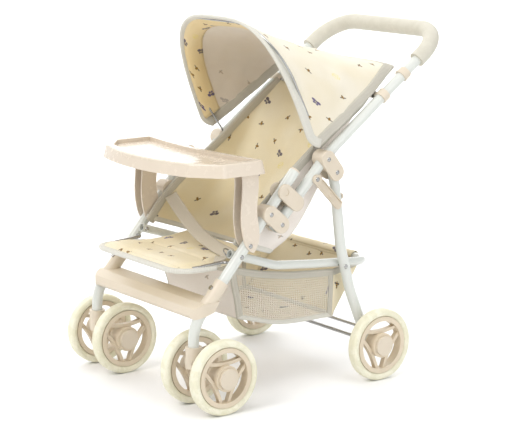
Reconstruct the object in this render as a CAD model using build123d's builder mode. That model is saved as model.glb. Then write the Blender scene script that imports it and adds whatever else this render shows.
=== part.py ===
"""Doll stroller: a folding tube frame with twin swivel casters, a sling seat, a hood and a basket.

Axes: +X to the stroller's left, -Y forwards, +Z up. The origin is on the floor under the middle of
the whole stroller. Millimetres.
"""

import os
from math import atan2, cos, degrees, hypot, radians, sin

from build123d import *

os.makedirs("parts", exist_ok=True)

# ------------------------------------------------------------------ driving dimensions
# Fits
GAP = 0.3  # between pieces that move past each other
RUNNING = 0.05  # radial clearance of a pin in its bore

# Wheels
WHEEL_D = 110.0
TYRE_W = 18.0
TYRE_SHOULDER_R = 5.0
RIM_D = 88.0  # where the tyre sits
RIM_W = 15.0
WINDOW_D = 74.0  # outer edge of the spoke windows
HUB_D = 38.0
HUB_L = 21.0
HUB_CAP_D = 30.0
HUB_CAP_H = 4.0
SPOKE_COUNT = 3
SPOKE_W = 5.0
SPOKE_T = 8.0
SPOKE_HALF_ANGLE = 50.0
AXLE_D = 6.0

# Frame tubes
TUBE_D = 16.0
TUBE_WALL = 1.2
RAIL_D = 13.0
TUBE_SPAN = 268.0  # between the centres of the left and right frame tubes
RIVET_D = 4.0
RIVET_HEAD_D = 7.0
RIVET_HEAD_H = 2.2

# Wheel stations
WHEELBASE = 294.0  # front axle to rear axle
CASTER_TRAIL = 26.0  # swivel axis ahead of the front axle
TWIN_OFFSET = 37.3  # from the swivel axis to each front wheel's middle
REAR_WHEEL_X = 163.2

# Front tube, side view from the rear axle's centre: y rearwards, z up
FRONT_TUBE_TOP = (-141.0, 277.0)
FRONT_TUBE_KNEE = (-320.0, 71.0)
FRONT_TUBE_END_Z = 29.0
KNEE_R = 60.0
CAP_T = 3.0

# Hinge points, side view from the rear axle's centre
FOLD_PIVOT = (-171.0, 202.5)  # handle on the lower brackets
LEG_PIVOT = (-69.9, 269.8)  # rear leg on the upper brackets
RAIL_PIVOT = (-240.5, 162.4)  # side rail on the front tubes
LEG_RAIL_RIVET = (-49.0, 123.6)

# Handle
HANDLE_ELBOW = (-80.2, 296.5)
HANDLE_BAR = (146.6, 467.0)
HANDLE_CORNER_R = 55.0
HANDLE_TAIL = 11.0  # tube left below the fold pivot
GRIP_D = 25.0
GRIP_START = 215.0  # from the elbow along the handle
UPPER_BRACKET_AT = 122.5  # upper bracket rivet, from the fold pivot along the handle
LEVER_AT = 88.0  # lock lever pivot, from the fold pivot along the handle
LEVER_L = 66.0
LEVER_W = 14.0
LEVER_T = 4.0
LEVER_SLOPE = -46.0
LEVER_WALL = 1.3
LEVER_STUD_AT = 38.0
COLLAR_AT = 40.0  # latch collar's middle, from the fold pivot along the handle
COLLAR_L = 24.0
BACK_CLIP_AT = 132.0  # from the elbow along the handle
CANOPY_CLIP_AT = 182.0
CLIP_L = 12.0
CLIP_BOSS = 5.0  # how far a clip's boss stands in from the tube
CLIP_BOSS_D = 10.0
CAP_GRIP = 3.0  # how far an axle reaches into its end caps

# Rear legs
LEG_POINTS = [(-65.6, 250.9), (-52.9, 151.0), (-34.5, 83.8), (-16.9, 40.8), (0.0, 0.0)]
LEG_BEND_R = 120.0
CROSS_ROD_Z = 22.0
CROSS_ROD_D = 5.0
SPACER_D = 12.0

# Side rail
RAIL_POINTS = [(-203.0, 150.0), (-165.0, 137.0), (-100.0, 130.5), (15.0, 121.0)]
RAIL_BEND_R = 60.0
RAIL_CORNER_R = 30.0

# Brackets
CHEEK_T = 4.0
BRACKET_R = 13.0
BRACKET_EDGE_R = 1.5
SADDLE_WALL = 1.4
DIMPLE_D = 11.0
DIMPLE_DEPTH = 1.2
CLIP_WALL = 2.0
LEG_STOP_Z = 230.0
LEG_STOP_D = 9.0
LEG_STOP_H = 4.5

# Footrest
SLEEVE_WALL = 2.6
SLEEVE_TOP_Z = 128.0
SLEEVE_BOTTOM_Z = 92.0
FOOTREST_EDGE_R = 3.0
FOOTREST_SCREW_Z = 116.0
FOOTREST_T = 3.0
FOOTREST_CORNER_R = 22.0  # in plan, at both ends
FOOTREST_END = 11.0  # how far the footrest runs out past the tubes' centres

# Casters
STEM_D = 8.0
STEM_INTO_TUBE = 16.0
STEM_BELOW_TUBE = 15.0
CASTER_COLLAR_D = 24.0
CASTER_COLLAR_TOP_Z = 41.0
CASTER_COLLAR_BOTTOM_Z = 10.0
CASTER_BOSS_D = 18.0

# Tray
TRAY_HALF_W = 150.5
TRAY_Z = 302.0
TRAY_H = 19.0
TRAY_WALL = 2.5
TRAY_REAR_Y = -204.0
TRAY_SIDE_FRONT_Y = -280.0
TRAY_CORNER_X = 112.0
TRAY_CORNER_Y = -312.0
TRAY_FRONT_Y = -330.0
TRAY_BACK_HOLLOW = 14.0
TRAY_RIM = 11.0
TRAY_RECESS_DEPTH = 6.0
TRAY_DRAFT = 0.25  # how much the skirt flares out for its height
TRAY_CORNER_R = 10.0
TRAY_EDGE_R = 3.0
ARM_T = 2.6
TRAY_PIVOT = (-227.5, 178.0)

# Seat
SEAT_LOOP_D = 5.0
SEAT_LOOP_HALF_W = 112.0
SEAT_LOOP_FRONT = (-325.0, 148.0)
SEAT_LOOP_TUBE_Z = 152.0
SEAT_LOOP_CORNER_R = 30.0
SEAT_PAN_T = 12.0
SEAT_PAN_FRONT_HALF_W = 120.0
SEAT_PAN_REAR_HALF_W = 103.0
SEAT_PAN_CORNER_R = 32.0
SEAT_PAN_FRONT = (-329.0, 148.0)
SEAT_PAN_REAR = (-168.0, 151.0)
SEAT_PAN_STEP_Y = -272.0
SEAT_PAN_WAIST_Y = -258.0
SEAT_BACK_HALF_W = 110.0
SEAT_BACK_T = 4.0
BACK_ROD_D = 6.0
BELT_W = 20.0
BELT_T = 1.6
BELT_MIDDLE = (-205.0, 180.0)
BELT_TILT = 40.0

# Hood
CANOPY_T = 2.0
CANOPY_HALF_W = 141.0
CANOPY_BOW_H = 228.0
CANOPY_BOW_ANGLE = 116.0  # of the bow's plane, from straight back
CANOPY_BOW_R = 92.0
CANOPY_BASE = 13.0  # from the bow's pivot to the hood's lower corners
CANOPY_HEM = 11.5  # from the handle tube's centreline up to the hood's side hems
CANOPY_WIRE_D = 3.0
CANOPY_MIDDLE_AT = 88.0  # from the elbow along the handle
CANOPY_MIDDLE_HALF_W = 133.0
CANOPY_MIDDLE_H = 113.0
CANOPY_MIDDLE_ANGLE = 118.6
CANOPY_MIDDLE_R = 62.0
CANOPY_REAR_HALF_W = 123.0
CANOPY_REAR_H = 8.0
CANOPY_REAR_R = 5.0
CANOPY_REAR_AT = 180.0  # from the elbow along the handle
CANOPY_REAR_ANGLE = 127.0
WIRE_EYE_D = 8.0
WIRE_EYE_T = 3.6
WIRE_EYE_OVERLAP = 0.5
WIRE_SHOULDER_H = 70.0
WIRE_STRAIGHT = 17.0  # how far the wire runs straight up before it leans outwards
WIRE_DROP = 2.5  # clearance under the hood's falling top

# Basket
BASKET_HALF_W = 117.0
BASKET_FRONT_HALF_W = 96.0
BASKET_T = 2.0
BASKET_TOP_FRONT = (-226.0, 136.0)
BASKET_BOTTOM_FRONT = (-206.0, 56.0)
BASKET_BOTTOM_MIDDLE = (-140.0, 37.0)
BASKET_BOTTOM_REAR = (-52.0, 38.0)
BASKET_TOP_REAR = (4.0, 108.0)
BASKET_TOP_MIDDLE = (-120.0, 117.0)

# ------------------------------------------------------------------ derived values
WHEEL_R = WHEEL_D / 2
TUBE_R = TUBE_D / 2
TUBE_X = TUBE_SPAN / 2
RAIL_X = TUBE_X - TUBE_R - GAP - RAIL_D / 2
AXLE_Z = WHEEL_R
FRONT_REACH = WHEELBASE + WHEEL_R
REAR_REACH = HANDLE_BAR[0] + GRIP_D / 2
REAR_AXLE_Y = (FRONT_REACH - REAR_REACH) / 2
SIDES = {"left": 1, "right": -1}
CHEEK_INNER_X = TUBE_X - TUBE_R - GAP
CHEEK_OUTER_X = TUBE_X + TUBE_R + GAP
CHEEK_FACE_X = CHEEK_OUTER_X + CHEEK_T
CHEEK_BACK_X = CHEEK_INNER_X - CHEEK_T
LEVER_X = CHEEK_OUTER_X
CLIP_BOSS_X = TUBE_X - TUBE_R - CLIP_BOSS
WIRE_EYE_X = CHEEK_BACK_X - GAP - WIRE_EYE_T / 2


def at(point):
    """A side-view point, from the rear axle's centre to the frame's Y and Z."""
    return (point[0] + REAR_AXLE_Y, point[1] + AXLE_Z)


def toward(start, end):
    """The unit direction from one side-view point to another."""
    length = hypot(end[0] - start[0], end[1] - start[1])
    return ((end[0] - start[0]) / length, (end[1] - start[1]) / length)


def along(start, direction, distance, offset=0.0):
    """A side-view point along a direction, and offset to its right (downwards and rearwards)."""
    return (
        start[0] + direction[0] * distance + direction[1] * offset,
        start[1] + direction[1] * distance - direction[0] * offset,
    )


def polar(radius, angle):
    return (radius * cos(radians(angle)), radius * sin(radians(angle)))


def side_plane(x, point=(0.0, 0.0)):
    """The plane X = x with its origin at a side-view point: local x rearwards, local y up."""
    y, z = at(point)
    return Plane(origin=(x, y, z), x_dir=(0, 1, 0), z_dir=(1, 0, 0))


def spot(x, point):
    """A side-view point as a position in the frame."""
    return Vector(x, *at(point))


def save(builder, name):
    builder.part.label = name
    export_step(builder.part, f"parts/{name}.step")


HANDLE_LOWER = toward(FOLD_PIVOT, HANDLE_ELBOW)
HANDLE_UPPER = toward(HANDLE_ELBOW, HANDLE_BAR)
FRONT_SLOPE = toward(FRONT_TUBE_KNEE, FRONT_TUBE_TOP)
UPPER_BRACKET_RIVET = along(FOLD_PIVOT, HANDLE_LOWER, UPPER_BRACKET_AT)
LEVER_PIVOT = along(FOLD_PIVOT, HANDLE_LOWER, LEVER_AT, 4.0)
COLLAR_MIDDLE = along(FOLD_PIVOT, HANDLE_LOWER, COLLAR_AT)
BACK_CLIP = along(HANDLE_ELBOW, HANDLE_UPPER, BACK_CLIP_AT)
CANOPY_CLIP = along(HANDLE_ELBOW, HANDLE_UPPER, CANOPY_CLIP_AT)
CANOPY_MIDDLE = along(HANDLE_ELBOW, HANDLE_UPPER, CANOPY_MIDDLE_AT, -CANOPY_HEM)
CANOPY_REAR = along(HANDLE_ELBOW, HANDLE_UPPER, CANOPY_REAR_AT, -CANOPY_HEM)


def on_front_tube(z):
    """The point of the front tube's sloping centreline at a height."""
    run = (z - FRONT_TUBE_KNEE[1]) / FRONT_SLOPE[1]
    return along(FRONT_TUBE_KNEE, FRONT_SLOPE, run)


def nearest_on_front_tube(point):
    """The foot of the perpendicular from a side-view point to the front tube's centreline."""
    run = (point[0] - FRONT_TUBE_KNEE[0]) * FRONT_SLOPE[0]
    run += (point[1] - FRONT_TUBE_KNEE[1]) * FRONT_SLOPE[1]
    return along(FRONT_TUBE_KNEE, FRONT_SLOPE, run)


FRONT_RIVET = nearest_on_front_tube(FOLD_PIVOT)
RAIL_PIVOT = nearest_on_front_tube(RAIL_PIVOT)
TRAY_PIVOT = nearest_on_front_tube(TRAY_PIVOT)


# ------------------------------------------------------------------ tubes and rods
def ring(outer_d, wall):
    Circle(outer_d / 2)
    Circle(outer_d / 2 - wall, mode=Mode.SUBTRACT)


def cross_hole(point, diameter, x_from, x_to):
    """Cut a hole along X through the side-view point, between two X positions."""
    with BuildSketch(side_plane(x_from, point)) as disc:
        Circle(diameter / 2)
    extrude(disc.sketch, amount=x_to - x_from, mode=Mode.SUBTRACT)


def round_bar(point, diameter, x_from, x_to):
    """A round bar along X through the side-view point."""
    with BuildSketch(side_plane(x_from, point)) as disc:
        Circle(diameter / 2)
    extrude(disc.sketch, amount=x_to - x_from)


def front_tube_route(x):
    """Centreline of a front tube: down the slope, round the knee and straight down."""
    FilletPolyline(
        spot(x, FRONT_TUBE_TOP),
        spot(x, FRONT_TUBE_KNEE),
        spot(x, (FRONT_TUBE_KNEE[0], FRONT_TUBE_END_Z)),
        radius=KNEE_R,
    )


def front_tube(side):
    x = side * TUBE_X
    with BuildPart() as tube:
        with BuildLine() as route:
            front_tube_route(x)
        with BuildSketch(Plane(origin=route.line @ 0, z_dir=route.line % 0)):
            ring(TUBE_D, TUBE_WALL)
        sweep(path=route.line)
        for pin in (FRONT_RIVET, RAIL_PIVOT):
            cross_hole(pin, RIVET_D, x - TUBE_D, x + TUBE_D)
        cross_hole(TRAY_PIVOT, RIVET_D, x - TUBE_D, x + TUBE_D)
        cross_hole(on_front_tube(SEAT_LOOP_TUBE_Z), SEAT_LOOP_D, x - side * TUBE_D, x)
    return tube


for name, side in SIDES.items():
    save(front_tube(side), f"front_tube_{name}")

with BuildPart() as front_tube_caps:
    for side in SIDES.values():
        top = spot(side * TUBE_X, FRONT_TUBE_TOP)
        slope = Vector(0, *FRONT_SLOPE)
        with BuildSketch(Plane(origin=top, z_dir=slope)):
            Circle(TUBE_R)
        extrude(amount=CAP_T)
        fillet(front_tube_caps.edges().filter_by(GeomType.CIRCLE).sort_by(Axis.Z)[-1:], 1.5)
        with BuildSketch(Plane(origin=top, z_dir=-slope)):
            Circle(TUBE_R - TUBE_WALL)
        extrude(amount=CAP_T)
save(front_tube_caps, "front_tube_caps")


def handle_route():
    """Centreline of the one-piece handle: up the left side, across and down the right."""
    tail = along(FOLD_PIVOT, HANDLE_LOWER, -HANDLE_TAIL)
    FilletPolyline(
        spot(TUBE_X, tail),
        spot(TUBE_X, HANDLE_ELBOW),
        spot(TUBE_X, HANDLE_BAR),
        spot(-TUBE_X, HANDLE_BAR),
        spot(-TUBE_X, HANDLE_ELBOW),
        spot(-TUBE_X, tail),
        radius=[KNEE_R, HANDLE_CORNER_R, HANDLE_CORNER_R, KNEE_R],
    )


with BuildPart() as handle_tube:
    with BuildLine() as route:
        handle_route()
    with BuildSketch(Plane(origin=route.line @ 0, z_dir=route.line % 0)):
        ring(TUBE_D, TUBE_WALL)
    sweep(path=route.line)
    for side in SIDES.values():
        x = side * TUBE_X
        cross_hole(FOLD_PIVOT, RIVET_D + 2 * RUNNING, x - TUBE_D, x + TUBE_D)
        cross_hole(UPPER_BRACKET_RIVET, RIVET_D, x - TUBE_D, x + TUBE_D)
        cross_hole(LEVER_PIVOT, RIVET_D, x, x + side * TUBE_D)
        cross_hole(BACK_CLIP, BACK_ROD_D, x - side * TUBE_D, x)
        cross_hole(CANOPY_CLIP, RIVET_D, x - side * TUBE_D, x)
save(handle_tube, "handle_tube")

with BuildPart() as handle_grip:
    start = along(HANDLE_ELBOW, HANDLE_UPPER, GRIP_START)
    with BuildLine() as route:
        FilletPolyline(
            spot(TUBE_X, start),
            spot(TUBE_X, HANDLE_BAR),
            spot(-TUBE_X, HANDLE_BAR),
            spot(-TUBE_X, start),
            radius=HANDLE_CORNER_R,
        )
    with BuildSketch(Plane(origin=route.line @ 0, z_dir=route.line % 0)):
        Circle(GRIP_D / 2)
        Circle(TUBE_R, mode=Mode.SUBTRACT)
    sweep(path=route.line)
save(handle_grip, "handle_grip")


def rear_leg(side):
    x = side * TUBE_X
    last = toward(LEG_POINTS[-2], LEG_POINTS[-1])
    with BuildPart() as leg:
        with BuildLine() as route:
            points = [along(LEG_PIVOT, toward(LEG_PIVOT, LEG_POINTS[0]), -TUBE_R)]
            points += LEG_POINTS[:-1]
            points.append(along(LEG_POINTS[-1], last, TUBE_R))
            FilletPolyline(*[spot(x, point) for point in points], radius=LEG_BEND_R)
        with BuildSketch(Plane(origin=route.line @ 0, z_dir=route.line % 0)):
            ring(TUBE_D, TUBE_WALL)
        sweep(path=route.line)
        cross_hole(LEG_PIVOT, RIVET_D + 2 * RUNNING, x - TUBE_D, x + TUBE_D)
        cross_hole(LEG_RAIL_RIVET, RIVET_D, x - TUBE_D, x + TUBE_D)
        cross_hole(LEG_POINTS[-1], AXLE_D, x - TUBE_D, x + TUBE_D)
        cross_hole(CROSS_ROD, CROSS_ROD_D, x - side * TUBE_D, x)
    return leg


def on_leg(z):
    """The point of the leg's lowest straight at a height above the rear axle."""
    direction = toward(LEG_POINTS[-1], LEG_POINTS[-2])
    return along(LEG_POINTS[-1], direction, z / direction[1])


CROSS_ROD = on_leg(CROSS_ROD_Z)
for name, side in SIDES.items():
    save(rear_leg(side), f"rear_leg_{name}")

with BuildPart() as cross_rod:
    reach = TUBE_X - TUBE_R + TUBE_WALL
    round_bar(CROSS_ROD, CROSS_ROD_D, -reach, reach)
save(cross_rod, "cross_rod")

with BuildPart() as side_rail:
    with BuildLine() as route:
        left = [spot(RAIL_X, along(RAIL_PIVOT, toward(RAIL_PIVOT, RAIL_POINTS[0]), -RAIL_D / 2))]
        left += [spot(RAIL_X, point) for point in RAIL_POINTS]
        right = [Vector(-point.X, point.Y, point.Z) for point in reversed(left)]
        bends = [RAIL_BEND_R] * (len(RAIL_POINTS) - 1)
        FilletPolyline(*left, *right, radius=bends + [RAIL_CORNER_R] * 2 + bends)
    with BuildSketch(Plane(origin=route.line @ 0, z_dir=route.line % 0)):
        ring(RAIL_D, TUBE_WALL)
    sweep(path=route.line)
    for side in SIDES.values():
        x = side * RAIL_X
        cross_hole(RAIL_PIVOT, RIVET_D + 2 * RUNNING, x - RAIL_D, x + RAIL_D)
        cross_hole(LEG_RAIL_RIVET, RIVET_D, x - RAIL_D, x + RAIL_D)
save(side_rail, "side_rail")


# ------------------------------------------------------------------ rivets
def dome(point, x, outwards):
    """A domed rivet head on the plane X = x, rising to +X or -X."""
    y, z = at(point)
    dome_r = (RIVET_HEAD_D**2 / 4 + RIVET_HEAD_H**2) / (2 * RIVET_HEAD_H)
    profile = Plane(origin=(x, y, z), x_dir=(outwards, 0, 0), z_dir=(0, -outwards, 0))
    with BuildSketch(profile) as half:
        with BuildLine():
            Polyline((RIVET_HEAD_H, 0), (0, 0), (0, RIVET_HEAD_D / 2))
            RadiusArc((0, RIVET_HEAD_D / 2), (RIVET_HEAD_H, 0), dome_r)
        make_face()
    revolve(half.sketch, axis=Axis((x, y, z), (1, 0, 0)))


def rivet(point, side, inner_x, outer_x, inner_head=True, outer_head=True):
    """A rivet along X on one side, between two distances from the middle."""
    round_bar(point, RIVET_D, side * inner_x, side * outer_x)
    if outer_head:
        dome(point, side * outer_x, side)
    if inner_head:
        dome(point, side * inner_x, -side)


# Fixed rivets of the front frame: through the lower brackets, and screws in the footrest's sleeves.
with BuildPart() as frame_rivets:
    ahead = Vector(0, -FRONT_SLOPE[1], FRONT_SLOPE[0])
    for side in SIDES.values():
        rivet(FRONT_RIVET, side, CHEEK_BACK_X, CHEEK_FACE_X)
        root = spot(side * TUBE_X, on_front_tube(FOOTREST_SCREW_Z)) + ahead * (TUBE_R + SLEEVE_WALL)
        with BuildSketch(Plane(origin=root, z_dir=ahead)) as head:
            Circle(RIVET_HEAD_D / 2)
        extrude(head.sketch, amount=RIVET_HEAD_H)
save(frame_rivets, "frame_rivets")

# Pins held by the front frame: the handle, the side rail and the tray's arms turn on them.
with BuildPart() as frame_pivot_pins:
    for side in SIDES.values():
        rivet(FOLD_PIVOT, side, CHEEK_BACK_X, CHEEK_FACE_X)
        rivet(RAIL_PIVOT, side, RAIL_X - RAIL_D / 2 - GAP, TUBE_X + TUBE_R)
        rivet(TRAY_PIVOT, side, CHEEK_INNER_X - ARM_T - GAP, CHEEK_OUTER_X + ARM_T + GAP)
save(frame_pivot_pins, "frame_pivot_pins")

# Pins held by the handle: the hood's wire, the rear legs and the lock levers turn on them.
with BuildPart() as handle_pivot_pins:
    for side in SIDES.values():
        rivet(UPPER_BRACKET_RIVET, side, WIRE_EYE_X - WIRE_EYE_T, CHEEK_FACE_X)
        rivet(LEG_PIVOT, side, CHEEK_BACK_X, CHEEK_FACE_X)
        rivet(LEVER_PIVOT, side, TUBE_X, LEVER_X + LEVER_T + GAP, inner_head=False)
save(handle_pivot_pins, "handle_pivot_pins")

# The legs and the rail each keep their own half of the joint between them.
with BuildPart() as leg_rivets:
    for side in SIDES.values():
        rivet(LEG_RAIL_RIVET, side, TUBE_X - TUBE_R, TUBE_X + TUBE_R, inner_head=False)
save(leg_rivets, "leg_rivets")

with BuildPart() as rail_rivets:
    for side in SIDES.values():
        inner, outer = RAIL_X - RAIL_D / 2, RAIL_X + RAIL_D / 2
        rivet(LEG_RAIL_RIVET, side, inner, outer, outer_head=False)
save(rail_rivets, "rail_rivets")


# ------------------------------------------------------------------ brackets, latches and levers
def slot_between(first, second, radius):
    """A round-ended slot between two side-view points, in the middle of the current sketch."""
    length = hypot(second[0] - first[0], second[1] - first[1])
    angle = degrees(atan2(second[1] - first[1], second[0] - first[0]))
    SlotCenterToCenter(length, 2 * radius, rotation=angle)


def midpoint(first, second):
    return ((first[0] + second[0]) / 2, (first[1] + second[1]) / 2)


def clear_beside(tube_point, direction, reach, to_the_rear, side):
    """Cut the space between a bracket's cheeks on one side of the tube that the bracket holds."""
    away = 1 if to_the_rear else -1
    wall = TUBE_R + GAP + SADDLE_WALL
    centre = along(tube_point, direction, 0, away * (wall + reach / 2))
    angle = degrees(atan2(direction[1], direction[0]))
    with BuildSketch(side_plane(side * CHEEK_INNER_X, centre)) as window:
        Rectangle(2 * reach, reach, rotation=angle)
    extrude(window.sketch, amount=side * (CHEEK_OUTER_X - CHEEK_INNER_X), mode=Mode.SUBTRACT)


def straight_bore(point, direction, x, radius):
    """Cut a bore along a straight tube, well past both ends of the piece."""
    start = spot(x, along(point, direction, -TUBE_SPAN / 2))
    with BuildSketch(Plane(origin=start, z_dir=Vector(0, *direction))) as disc:
        Circle(radius)
    extrude(disc.sketch, amount=TUBE_SPAN, mode=Mode.SUBTRACT)


def handle_core(side):
    """The space that the handle tube fills on one side, round its elbow."""
    x = side * TUBE_X
    with BuildPart() as core:
        with BuildLine() as route:
            tail = along(FOLD_PIVOT, HANDLE_LOWER, -HANDLE_TAIL)
            FilletPolyline(spot(x, tail), spot(x, HANDLE_ELBOW), spot(x, BACK_CLIP), radius=KNEE_R)
        with BuildSketch(Plane(origin=route.line @ 0, z_dir=route.line % 0)):
            Circle(TUBE_R)
        sweep(path=route.line)
    return core.part


def front_core(side):
    """The space that the front tube fills on one side, along its slope."""
    x = side * TUBE_X
    with BuildPart() as core:
        with BuildSketch(Plane(origin=spot(x, FRONT_TUBE_TOP), z_dir=Vector(0, *FRONT_SLOPE) * -1)):
            Circle(TUBE_R)
        extrude(amount=TUBE_SPAN / 2)
    return core.part


def hinge_bracket(side, held, direction, pivot, held_tube):
    """Two cheeks joined by a saddle round one tube; the other tube turns between them."""
    with BuildPart() as bracket:
        with BuildSketch(side_plane(side * CHEEK_BACK_X, midpoint(held, pivot))):
            slot_between(held, pivot, BRACKET_R)
        extrude(amount=side * (CHEEK_FACE_X - CHEEK_BACK_X))
        clear_beside(held, direction, 2 * BRACKET_R + TUBE_D, True, side)
        add(held_tube, mode=Mode.SUBTRACT)
        for pin in (held, pivot):
            cross_hole(pin, RIVET_D, side * (CHEEK_BACK_X - 1), side * (CHEEK_FACE_X + 1))
        outer_face = bracket.faces().filter_by(Axis.X).sort_by(Axis.X)[-1 if side > 0 else 0]
        fillet(outer_face.outer_wire().edges(), BRACKET_EDGE_R)
    return bracket


for name, side in SIDES.items():
    lower = hinge_bracket(side, FRONT_RIVET, FRONT_SLOPE, FOLD_PIVOT, front_core(side))
    upper = hinge_bracket(side, UPPER_BRACKET_RIVET, HANDLE_LOWER, LEG_PIVOT, handle_core(side))
    save(lower, f"lower_bracket_{name}")
    save(upper, f"upper_bracket_{name}")


def latch_collar(side):
    """Slides on the handle tube, with cheeks that reach forward over the front tube."""
    over_front_tube = nearest_on_front_tube(COLLAR_MIDDLE)
    with BuildPart() as collar:
        with BuildSketch(side_plane(side * CHEEK_BACK_X, midpoint(COLLAR_MIDDLE, over_front_tube))):
            slot_between(COLLAR_MIDDLE, over_front_tube, COLLAR_L / 2)
        extrude(amount=side * (CHEEK_FACE_X - CHEEK_BACK_X))
        clear_beside(COLLAR_MIDDLE, HANDLE_LOWER, 2 * COLLAR_L, False, side)
        straight_bore(COLLAR_MIDDLE, HANDLE_LOWER, side * TUBE_X, TUBE_R + RUNNING)
        with BuildSketch(side_plane(side * CHEEK_FACE_X, over_front_tube)):
            Circle(DIMPLE_D / 2)
        extrude(amount=-side * DIMPLE_DEPTH, mode=Mode.SUBTRACT)
        outer_face = collar.faces().filter_by(Axis.X).sort_by(Axis.X)[-1 if side > 0 else 0]
        fillet(outer_face.outer_wire().edges(), BRACKET_EDGE_R)
    return collar


for name, side in SIDES.items():
    save(latch_collar(side), f"latch_collar_{name}")


def lock_lever(side):
    """A pressed channel, open outwards, that lies across the outside of the rear leg."""
    slope = (cos(radians(LEVER_SLOPE)), sin(radians(LEVER_SLOPE)))
    straight = LEVER_L - LEVER_W / 2
    tip = along(LEVER_PIVOT, slope, straight)
    pocket = along(LEVER_PIVOT, slope, LEVER_W / 2 + straight / 2)
    with BuildPart() as lever:
        with BuildSketch(side_plane(side * LEVER_X, midpoint(LEVER_PIVOT, tip))):
            slot_between(LEVER_PIVOT, tip, LEVER_W / 2)
        extrude(amount=side * LEVER_T)
        with BuildSketch(side_plane(side * (LEVER_X + LEVER_WALL), pocket)):
            Rectangle(straight, LEVER_W - 2 * LEVER_WALL, rotation=LEVER_SLOPE)
        extrude(amount=side * LEVER_T, mode=Mode.SUBTRACT)
        cross_hole(LEVER_PIVOT, RIVET_D + 2 * RUNNING, side * (LEVER_X - 1), side * (LEVER_X + 2 * LEVER_T))
        dome(along(LEVER_PIVOT, slope, LEVER_STUD_AT), side * (LEVER_X + LEVER_WALL), side)
    return lever


for name, side in SIDES.items():
    save(lock_lever(side), f"lock_lever_{name}")


def on_upper_leg(z):
    """The point of the leg's long straight at a height above the rear axle."""
    direction = toward(LEG_POINTS[1], LEG_POINTS[0])
    return along(LEG_POINTS[1], direction, (z - LEG_POINTS[1][1]) / direction[1])


with BuildPart() as leg_stops:
    upwards = toward(LEG_POINTS[1], LEG_POINTS[0])
    rearwards = Vector(0, upwards[1], -upwards[0])
    for side in SIDES.values():
        root = spot(side * TUBE_X, on_upper_leg(LEG_STOP_Z)) + rearwards * TUBE_R
        with BuildSketch(Plane(origin=root, z_dir=rearwards)):
            Circle(LEG_STOP_D / 2)
        extrude(amount=LEG_STOP_H)
    fillet(leg_stops.faces().filter_by(GeomType.PLANE).group_by(Axis.Y)[-1].edges(), LEG_STOP_H / 2)
save(leg_stops, "leg_stops")


def tube_clips(place, hole_d):
    """A pair of clips round the handle tube, with a boss on the inner side of each."""
    with BuildPart() as clips:
        start = along(place, HANDLE_UPPER, -CLIP_L / 2)
        for side in SIDES.values():
            with BuildSketch(Plane(origin=spot(side * TUBE_X, start), z_dir=Vector(0, *HANDLE_UPPER))) as band:
                Circle(TUBE_R + CLIP_WALL)
            extrude(band.sketch, amount=CLIP_L)
            round_bar(place, CLIP_BOSS_D, side * CLIP_BOSS_X, side * (TUBE_X - TUBE_R / 2))
            straight_bore(place, HANDLE_UPPER, side * TUBE_X, TUBE_R)
            cross_hole(place, hole_d, side * (CLIP_BOSS_X - 1), side * TUBE_X)
    return clips


save(tube_clips(BACK_CLIP, BACK_ROD_D), "back_clips")
save(tube_clips(CANOPY_CLIP, RIVET_D), "hood_clips")

with BuildPart() as hood_clip_screws:
    for side in SIDES.values():
        rivet(CANOPY_CLIP, side, CLIP_BOSS_X, TUBE_X, outer_head=False)
save(hood_clip_screws, "hood_clip_screws")

with BuildPart() as back_rod:
    round_bar(BACK_CLIP, BACK_ROD_D, -TUBE_X, TUBE_X)
save(back_rod, "back_rod")

# ------------------------------------------------------------------ footrest
FOOTREST_OUTLINE = [
    (-281.0, 104.0),
    (-308.0, 103.0),
    (-321.0, 96.0),
    (-325.5, 86.0),
    (-321.0, 80.5),
    (-291.0, 89.0),
]


def footrest_block(inset):
    """The footrest's section along its whole length, with round front corners in plan."""
    half = TUBE_X + FOOTREST_END - inset
    with BuildSketch(side_plane(-half, (inset, -inset))) as profile:
        with BuildLine():
            Polyline(*FOOTREST_OUTLINE, close=True)
        make_face()
        if not inset:
            fillet(vertices().sort_by(Axis.X)[:4], FOOTREST_EDGE_R)
    bar = extrude(profile.sketch, amount=2 * half, mode=Mode.PRIVATE)
    front = min(y for y, z in FOOTREST_OUTLINE) + REAR_AXLE_Y + inset
    with BuildSketch(Plane.XY) as plan:
        with Locations((0, front + half / 2)):
            Rectangle(2 * half, half)
        fillet(vertices().group_by(Axis.Y)[0], FOOTREST_CORNER_R - inset)
    return bar & extrude(plan.sketch, amount=TUBE_SPAN, mode=Mode.PRIVATE)


with BuildPart() as footrest:
    add(footrest_block(0.0))
    add(footrest_block(FOOTREST_T), mode=Mode.SUBTRACT)
    for side in SIDES.values():
        x = side * TUBE_X
        top, bottom = on_front_tube(SLEEVE_TOP_Z), on_front_tube(SLEEVE_BOTTOM_Z)
        slope = Vector(0, *FRONT_SLOPE)
        with BuildSketch(Plane(origin=spot(x, bottom), z_dir=slope)):
            Circle(TUBE_R + SLEEVE_WALL)
        extrude(amount=hypot(top[0] - bottom[0], top[1] - bottom[1]))
        with BuildLine() as route:
            front_tube_route(x)
        with BuildSketch(Plane(origin=route.line @ 0, z_dir=route.line % 0)):
            Circle(TUBE_R)
        sweep(path=route.line, mode=Mode.SUBTRACT)
save(footrest, "footrest")

# ------------------------------------------------------------------ casters
SWIVEL_Y = FRONT_TUBE_KNEE[0]
FRONT_AXLE = (-WHEELBASE, 0.0)

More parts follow.
